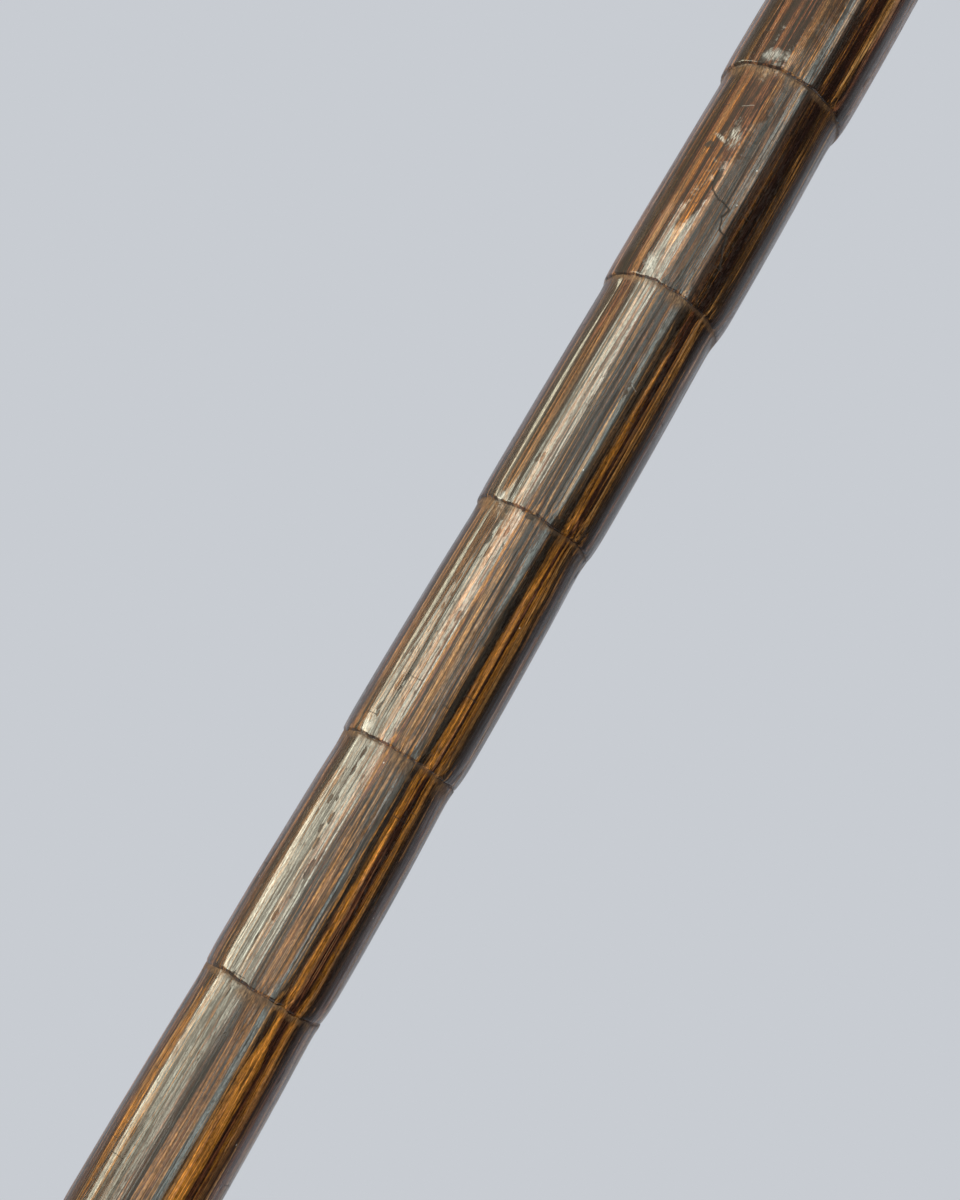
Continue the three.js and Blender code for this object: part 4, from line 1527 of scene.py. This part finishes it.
def incised(points: np.ndarray, margins: tuple[float, ...], depth: float, width: float) -> np.ndarray:
    """Cuts fine grooves into the long upright side of an outline, near both of its ends.

    Args:
        points: rows of (radius, height), with the outer side going up.
        margins: how far the grooves lie from each end of that side.
        depth: the grooves' depth.
        width: the grooves' width.

    Returns:
        The outline with its grooves.
    """
    i = int(np.diff(points[:, 1]).argmax())
    radius, low, high = points[i, 0], points[i, 1], points[i + 1, 1]
    heights = sorted([low + m for m in margins] + [high - m for m in margins])
    cuts = [(radius - d, h + w) for h in heights for d, w in ((0, -width / 2), (depth, 0), (0, width / 2))]
    return np.vstack([points[: i + 1], cuts, points[i + 1 :]])


def pin_ends(node: str) -> tuple[Vector, Vector, float]:
    """Reads a CAD pin that lies along X or Y.

    Args:
        node: the CAD node's name.

    Returns:
        The middle of its outermost end, that of its other end, and its radius.
    """
    low, high = (Vector(corner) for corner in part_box(node))
    middle = (low + high) / 2
    axis = max(range(2), key=lambda i: (high - low)[i])
    start, end = middle.copy(), middle.copy()
    start[axis], end[axis] = high[axis], low[axis]
    if abs(end[axis]) > abs(start[axis]) + WELD:
        start, end = end, start
    return start, end, (high - low).z / 2


@dataclass
class Pins:
    """Brass pins with filed, slightly domed heads."""

    material: bpy.types.Material
    dome: float = 0.34 * MM
    dome_angle: float = 1.35
    dome_rows: int = 6
    flat_share: float = 0.92
    inner_share: float = 0.97
    shoulder: float = 0.25 * MM
    tail_chamfer: tuple[float, float] = (0.25 * MM, 0.3 * MM)
    sides: int = 28

    def profile(self, radius: float, length: float, two_heads: bool) -> list[tuple[float, float, float]]:
        """Lists the rows of a pin.

        Args:
            radius: the pin's radius.
            length: its length.
            two_heads: whether both ends are domed.

        Returns:
            Radius, height and edge value of each row, from the head on.
        """
        head = []
        for t in np.linspace(0, self.dome_angle, self.dome_rows):
            rise = self.dome * (1 - math.cos(t)) / (1 - math.cos(self.dome_angle)) * self.flat_share
            head.append((radius * math.sin(t) / math.sin(self.dome_angle) * self.inner_share, rise, 0.5))
        head += [(radius, self.dome, -0.8), (radius, self.dome + self.shoulder, -1.0)]
        if two_heads:
            return head + [(r, length - z, e) for r, z, e in reversed(head)]
        inset, chamfer = self.tail_chamfer
        return head + [(radius, length - chamfer, -1.0), (radius - inset, length, -1.0), (0.0, length, -1.0)]

    def build(self, node: str, name: str, two_heads: bool = False) -> bpy.types.Object:
        """Makes the pin that stands for a CAD node.

        Args:
            node: the CAD node's name.
            name: the piece's name.
            two_heads: whether both ends are domed.

        Returns:
            The pin, with the value "edge" falling from its heads to its sides.
        """
        start, end, radius = pin_ends(node)
        shape = bmesh.new()
        layer = shape.verts.layers.float.new("edge")
        rings: list[list[bmesh.types.BMVert]] = []
        angles = [math.tau * k / self.sides for k in range(self.sides)]
        for r, z, e in self.profile(radius, (end - start).length, two_heads):
            if r < ON_AXIS:
                ring = [shape.verts.new((0.0, 0.0, z))] * self.sides
            else:
                ring = [shape.verts.new((r * math.cos(a), r * math.sin(a), z)) for a in angles]
            for vertex in set(ring):
                vertex[layer] = e
            rings.append(ring)
        for below, above in zip(rings, rings[1:]):
            for k in range(self.sides):
                after = (k + 1) % self.sides
                corners = [below[k], below[after], above[after], above[k]]
                shape.faces.new([c for n, c in enumerate(corners) if c not in corners[:n]])
        turn = Vector((0, 0, 1)).rotation_difference(end - start).to_matrix().to_4x4()
        bmesh.ops.transform(shape, matrix=Matrix.Translation(start) @ turn, verts=shape.verts)
        bmesh.ops.recalc_face_normals(shape, faces=shape.faces)
        piece = shaped(name, shape)
        piece.data.shade_smooth()
        piece.data.materials.append(self.material)
        return seat(piece, Slot.PIN_BRASS, node)


@dataclass(frozen=True)
class Sleeve:
    """A cast brass sleeve with roped beads and incised lines: the collar's and the ferrule's own numbers."""

    node: str
    name: str
    sides: int
    wander: float
    seed: float
    strands: float
    rope_pitch: float
    rope_depth: float
    groove: tuple[float, float] = (0.16 * MM, 0.42 * MM)
    groove_margins: tuple[float, ...] = (1.0 * MM, 1.7 * MM)
    round_edge: float = 0.35 * MM
    rope_from: float = 0.1 * MM
    rope_rise: float = 0.45 * MM
    skin: float = 0.3 * MM

    def build(self, form: TurnedForm, brass: bpy.types.Material) -> bpy.types.Object:
        """Makes the sleeve from its CAD outline and fixes it in place.

        Args:
            form: the node group that turns it.
            brass: its finish.

        Returns:
            The sleeve.
        """
        points, radius = roped(meridian(self.node, SECTION_AZIMUTH))
        outline = rounded(incised(points, self.groove_margins, *self.groove), self.round_edge)
        proud = outline.points[:, 0] - radius
        outline.values["rope"] = np.clip((proud - self.rope_from) / self.rope_rise, 0.0, 1.0)
        outline.values["carved"] = (outline.points[:, 0] > radius - self.skin).astype(float)
        piece = form.make(
            self.name, outline, brass, Sides=self.sides, Wander=self.wander, Seed=self.seed,
            Rope_Strands=self.strands, Rope_Depth=self.rope_depth, Rope_Lean=math.tau / self.rope_pitch,
        )
        return seat(piece, Slot.CAST_BRASS, self.node)


@dataclass
class CollarSet:
    """The cast brass collar with its roped beads, its two pins and the horn ring on it."""

    sleeve: Sleeve = Sleeve("collar", "brass_collar", 300, 0.07 * MM, 11.0, 30.0, 3.0 * MM, 0.42 * MM)
    ring_swell: float = 0.27 * MM
    ring_edge: float = 0.2 * MM
    ring_bore: float = 12.0 * MM
    ring_sides: int = 128
    ring_wander: float = 0.03 * MM
    ring_seed: float = 17.0

    def build(
        self, form: TurnedForm, pins: Pins, brass: bpy.types.Material, horn: bpy.types.Material
    ) -> None:
        """Makes the collar, its pins and the horn ring, and fixes them in place.

        Args:
            form: the node group that turns them.
            pins: makes the pins.
            brass: the collar's finish.
            horn: the ring's finish.
        """
        self.sleeve.build(form, brass)
        points, _ = roped(meridian("spacer_ring", SECTION_AZIMUTH))
        middle = (points[:, 1].max() + points[:, 1].min()) / 2
        thickness = points[:, 1].max() - points[:, 1].min()
        points[:, 1] = middle + (points[:, 1] - middle) * (1 + 2 * self.ring_swell / thickness)
        outline = rounded(points, self.ring_edge)
        outline.values["carved"] = (outline.points[:, 0] > self.ring_bore).astype(float)
        settings = {"Sides": self.ring_sides, "Wander": self.ring_wander, "Seed": self.ring_seed}
        seat(form.make("horn_ring", outline, horn, **settings), Slot.HORN, "spacer_ring")
        for side in ("left", "right"):
            pins.build(f"collar_pin_{side}", f"collar_pin_{side}_head")


@dataclass
class FerruleSet:
    """The brass ferrule on the shaft's lower end, with its two pins."""

    sleeve: Sleeve = Sleeve("ferrule", "brass_ferrule", 272, 0.04 * MM, 23.0, 34.0, 1.9 * MM, 0.20 * MM)

    def build(self, form: TurnedForm, pins: Pins, brass: bpy.types.Material) -> None:
        """Makes the ferrule and its pins, and fixes them in place.

        Args:
            form: the node group that turns it.
            pins: makes the pins.
            brass: the ferrule's finish.
        """
        self.sleeve.build(form, brass)
        for side in ("front", "back"):
            pins.build(f"ferrule_pin_{side}", f"ferrule_pin_{side}_head")


@dataclass
class TipSet:
    """The rubber tip, with soft moulded edges."""

    sides: int = 128
    wander: float = 0.05 * MM
    round_edge: float = 0.55 * MM
    sole: float = 1.6 * MM
    bore: float = 11.5 * MM
    seed: float = 29.0

    def build(self, form: TurnedForm, rubber: bpy.types.Material) -> None:
        """Makes the tip and fixes it in place.

        Args:
            form: the node group that turns it.
            rubber: its finish.
        """
        outline = rounded(meridian("rubber_tip", SECTION_AZIMUTH), self.round_edge)
        outer = (outline.points[:, 1] > self.sole) & (outline.points[:, 0] > self.bore)
        outline.values["carved"] = outer.astype(float)
        settings = {"Sides": self.sides, "Wander": self.wander, "Seed": self.seed}
        seat(form.make("moulded_rubber_tip", outline, rubber, **settings), Slot.RUBBER, "rubber_tip")


@dataclass
class Handle:
    """The carved grip: the CAD form with its facets and creases rubbed round."""

    voxel: float = 0.85 * MM
    smoothing: int = 10
    smoothing_factor: float = 0.5
    plug_radius: float = 2.1 * MM
    plug_half: float = 11.6 * MM
    plug_sides: int = 24
    foot_height: float = 862.0 * MM
    foot_radius: float = 13.45 * MM
    foot_core: float = 11.4 * MM
    foot_round: float = 0.35 * MM
    foot_round_mm: float = 0.5
    foot_top_mm: float = 1.9
    foot_fade_mm: float = 0.6

    def square_foot(self, mesh: bpy.types.Mesh) -> None:
        """Pushes the smoothed foot of the neck out again, so that no groove opens above the horn ring.

        Args:
            mesh: the smoothed grip, which is changed.
        """
        points = np.empty(3 * len(mesh.vertices))
        mesh.vertices.foreach_get("co", points)
        points = points.reshape(-1, 3)
        out = np.hypot(points[:, 0], points[:, 1])
        above = (points[:, 2] - self.foot_height) / MM
        edge = self.foot_radius - self.foot_round * (1.0 - np.clip(above / self.foot_round_mm, 0.0, 1.0)) ** 2
        share = np.clip((self.foot_top_mm - above) / self.foot_fade_mm, 0.0, 1.0) * (out > self.foot_core)
        wanted = np.maximum(out, out + (edge - out) * share)
        points[:, :2] *= (wanted / np.maximum(out, 1e-9))[:, None]
        mesh.vertices.foreach_set("co", points.ravel())
        mesh.update()

    def build(self, material: bpy.types.Material, pins: Pins) -> None:
        """Makes the grip and its cross pin, and fixes them in place.

        Args:
            material: the grip's wood.
            pins: makes the pin.
        """
        shape = bmesh.new()
        shape.from_mesh(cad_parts["handle"].data)
        bmesh.ops.remove_doubles(shape, verts=shape.verts, dist=WELD)
        start, end, _ = pin_ends("handle_pin")
        across = Matrix.Translation((start + end) / 2) @ Matrix.Rotation(math.radians(90), 4, "X")
        bmesh.ops.create_cone(
            shape, cap_ends=True, segments=self.plug_sides, radius1=self.plug_radius,
            radius2=self.plug_radius, depth=2 * self.plug_half, matrix=across,
        )
        grip = shaped("carved_grip", shape)
        remesh = grip.modifiers.new("remesh", "REMESH")
        remesh.mode = "VOXEL"
        remesh.voxel_size = self.voxel
        remesh.use_smooth_shade = True
        smooth = grip.modifiers.new("smooth", "SMOOTH")
        smooth.iterations = self.smoothing
        smooth.factor = self.smoothing_factor
        finished = baked("carved_grip", grip)
        grip.modifiers.clear()
        grip.data = finished
        self.square_foot(finished)
        finished.materials.clear()
        finished.materials.append(material)
        seat(grip, Slot.HANDLE_WOOD, "handle")
        pins.build("handle_pin", "handle_cross_pin", two_heads=True)


@dataclass(frozen=True)
class PhotoCamera:
    """The photograph's camera: close to the shaft, below its middle, rolled so that the shaft leans right."""

    lens_mm: float = 54.0
    sensor_mm: float = 36.0
    target: tuple[float, float, float] = (-0.00203, 0.0, 0.6697)
    distance: float = 0.330
    look_up_deg: float = 11.9
    roll_deg: float = 30.31

    def build(self) -> None:
        """Creates the camera and makes it the scene's."""
        up_angle, roll = math.radians(self.look_up_deg), math.radians(self.roll_deg)
        forward = Vector((0.0, math.cos(up_angle), math.sin(up_angle)))
        level_right = Vector((1.0, 0.0, 0.0))
        level_up = Vector((0.0, -math.sin(up_angle), math.cos(up_angle)))
        right = level_right * math.cos(roll) + level_up * math.sin(roll)
        up = level_up * math.cos(roll) - level_right * math.sin(roll)
        data = bpy.data.cameras.new("photo_camera")
        data.lens = self.lens_mm
        data.sensor_width = self.sensor_mm
        data.clip_start = 10 * MM
        camera = placed("photo_camera", data)
        matrix = Matrix((right, up, -forward)).transposed().to_4x4()
        matrix.translation = Vector(self.target) - forward * self.distance
        camera.matrix_world = matrix
        bpy.context.scene.camera = camera


@dataclass(frozen=True)
class Panel:
    """A soft rectangular lamp, placed by its direction from the middle of the seen part of the shaft."""

    name: str
    azimuth_deg: float
    elevation_deg: float
    distance: float
    width: float
    height: float
    radiance: float
    colour: Colour
    turn_deg: float = 0.0
    lights: bool = True
    reflected: bool = True
    watts_per_area: float = 4.0

    def build(self, aim: Vector) -> None:
        """Creates the lamp.

        Args:
            aim: the point that it is turned to.
        """
        azimuth, elevation = math.radians(self.azimuth_deg), math.radians(self.elevation_deg)
        level = math.cos(elevation)
        away = Vector((math.sin(azimuth) * level, -math.cos(azimuth) * level, math.sin(elevation)))
        data = bpy.data.lights.new(self.name, "AREA")
        data.shape = "RECTANGLE"
        data.size = self.width
        data.size_y = self.height
        data.energy = self.radiance * self.watts_per_area * self.width * self.height
        data.color = self.colour
        lamp = placed(self.name, data)
        lamp.location = aim + away * self.distance
        turn = Matrix.Rotation(math.radians(self.turn_deg), 3, "Z")
        lamp.rotation_euler = ((-away).to_track_quat("-Z", "Y").to_matrix() @ turn).to_euler()
        lamp.visible_camera = False
        lamp.visible_diffuse = self.lights
        lamp.visible_glossy = self.reflected


@dataclass(frozen=True)
class Studio:
    """A plain pale room: soft lamps in front and above, a pale backdrop behind and a pale floor."""

    backdrop: Colour = (0.578, 0.604, 0.645)
    front: Colour = (0.028, 0.024, 0.022)
    side: Colour = (0.38, 0.29, 0.19)
    floor_colour: Colour = (0.62, 0.63, 0.66)
    side_wall: tuple[float, float] = (-0.15, -0.75)
    back_wall: tuple[float, float] = (0.02, 0.68)
    back_lean: float = 0.22
    floor_radius: float = 1.1
    floor_sides: int = 96
    floor_fade: tuple[float, float] = (0.40, 0.98)
    aim: tuple[float, float, float] = (0.0, 0.0, 0.62)
    panels: tuple[Panel, ...] = (
        Panel("key_panel", -5.0, 12.0, 1.20, 1.28, 1.56, 0.70, (0.91, 1.03, 0.97)),
        Panel("key_edge", 19.0, 12.0, 1.16, 0.30, 1.56, 0.95, (0.87, 1.03, 0.97), lights=False),
        Panel("window_panel", -48.0, 12.0, 1.18, 0.74, 1.56, 3.9, (1.0, 1.0, 0.80), lights=False),
        Panel("low_window", -80.0, 0.0, 1.20, 0.60, 0.62, 3.4, (1.0, 1.0, 0.80), 28.0, lights=False),
        Panel("rim_window", -94.0, 4.0, 1.18, 0.16, 1.10, 4.0, (1.0, 0.95, 0.70), 28.0, lights=False),
        Panel("fill_front", -5.0, 20.0, 1.30, 1.20, 1.20, 1.6, (1.0, 0.98, 0.95), reflected=False),
        Panel("fill_right", 62.0, 40.0, 1.30, 1.10, 1.10, 0.55, (1.0, 0.98, 0.95), reflected=False),
        Panel("fill_left", -60.0, 32.0, 1.40, 1.60, 1.60, 1.6, (1.0, 0.98, 0.94), reflected=False),
    )

    def world(self) -> None:
        """Builds the room's light and its backdrop."""
        world = bpy.data.worlds.new("studio_room")
        world.use_nodes = True
        world.node_tree.nodes.clear()
        net = Net(world.node_tree)
        x, y, _ = net.split(net.add("ShaderNodeTexCoord", out="Generated"))
        leftward = x.span(*self.side_wall, smooth=True)
        behind = (y - leftward * self.back_lean).span(*self.back_wall, smooth=True)
        room = net.mix(behind, net.mix(leftward, self.front, self.side), self.backdrop)
        lit = net.mix(net.add("ShaderNodeLightPath", out="Is Camera Ray"), room, self.backdrop)
        shader = net.add("ShaderNodeBackground", {"Color": lit, "Strength": 1.0})
        net.node("ShaderNodeOutputWorld", {"Surface": shader})
        bpy.context.scene.world = world

    def floor(self) -> None:
        """Builds the round pale floor, which fades out at its rim."""
        disc = bmesh.new()
        bmesh.ops.create_circle(disc, cap_ends=True, segments=self.floor_sides, radius=self.floor_radius)
        floor = shaped("studio_floor", disc)
        surface = Surface.new("floor_paint", {"Base Color": (*self.floor_colour, 1.0), "Roughness": 0.9})
        x, y, _ = surface.net.split(surface.place)
        near, far = (share * self.floor_radius for share in self.floor_fade)
        surface.feed("Alpha", surface.net.math("SQRT", x * x + y * y).span(near, far, 1.0, 0.0, smooth=True))
        floor.data.materials.append(surface.material)

    def build(self) -> None:
        """Builds the world, the lamps and the floor."""
        self.world()
        for panel in self.panels:
            panel.build(Vector(self.aim))
        self.floor()
        bpy.context.scene.view_settings.view_transform = "Standard"


CAST_BRASS = WornMetal(
    "aged_cast_brass", (0.66, 0.47, 0.19), (0.42, 0.28, 0.105), (0.07, 0.046, 0.024), 0.34, 0.6, 1.0
)
PIN_BRASS = WornMetal(
    "rubbed_pin_brass", (0.70, 0.52, 0.22), (0.56, 0.40, 0.16), (0.09, 0.06, 0.03), 0.26, 0.3, 0.2
)
BUSH_BRASS = WornMetal(
    "bush_brass", (0.66, 0.50, 0.24), (0.58, 0.43, 0.19), (0.12, 0.08, 0.04), 0.3, 0.2, 0.0, 1.0 * MM
)
ROD_STEEL = WornMetal(
    "threaded_steel", (0.62, 0.62, 0.62), (0.46, 0.47, 0.48), (0.10, 0.09, 0.08), 0.38, 0.35, 0.2, 1.25 * MM
)
WASHER_STEEL = WornMetal(
    "washer_steel", (0.62, 0.62, 0.62), (0.48, 0.49, 0.50), (0.11, 0.10, 0.09), 0.36, 0.4, 0.3
)


def main() -> None:
    """Builds the cane's looks and the studio round it."""
    logging.basicConfig(level=logging.INFO, format="%(message)s")
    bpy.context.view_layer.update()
    PhotoCamera().build()
    Studio().build()
    grain, wear = palm_grain_group(), varnish_wear_group()
    form = TurnedForm()
    Shaft().build(form, ShaftWood().build(grain, wear))
    metal = metal_wear_group()
    brass, head, bush = (finish.build(metal) for finish in (CAST_BRASS, PIN_BRASS, BUSH_BRASS))
    pins = Pins(head)
    CollarSet().build(form, pins, brass, PolishedHorn().build())
    FerruleSet().build(form, pins, brass)
    TipSet().build(form, DustyRubber().build())
    Handle().build(HandleWood().build(grain, wear), pins)
    steel, washer = ROD_STEEL.build(metal), WASHER_STEEL.build(metal)
    dress("handle_stud", Slot.STEEL, steel)
    dress("ferrule_screw", Slot.STEEL, steel)
    dress("tip_washer", Slot.STEEL, washer)
    dress("shaft_bush", Slot.PIN_BRASS, bush)


if __name__ == "__main__":
    main()
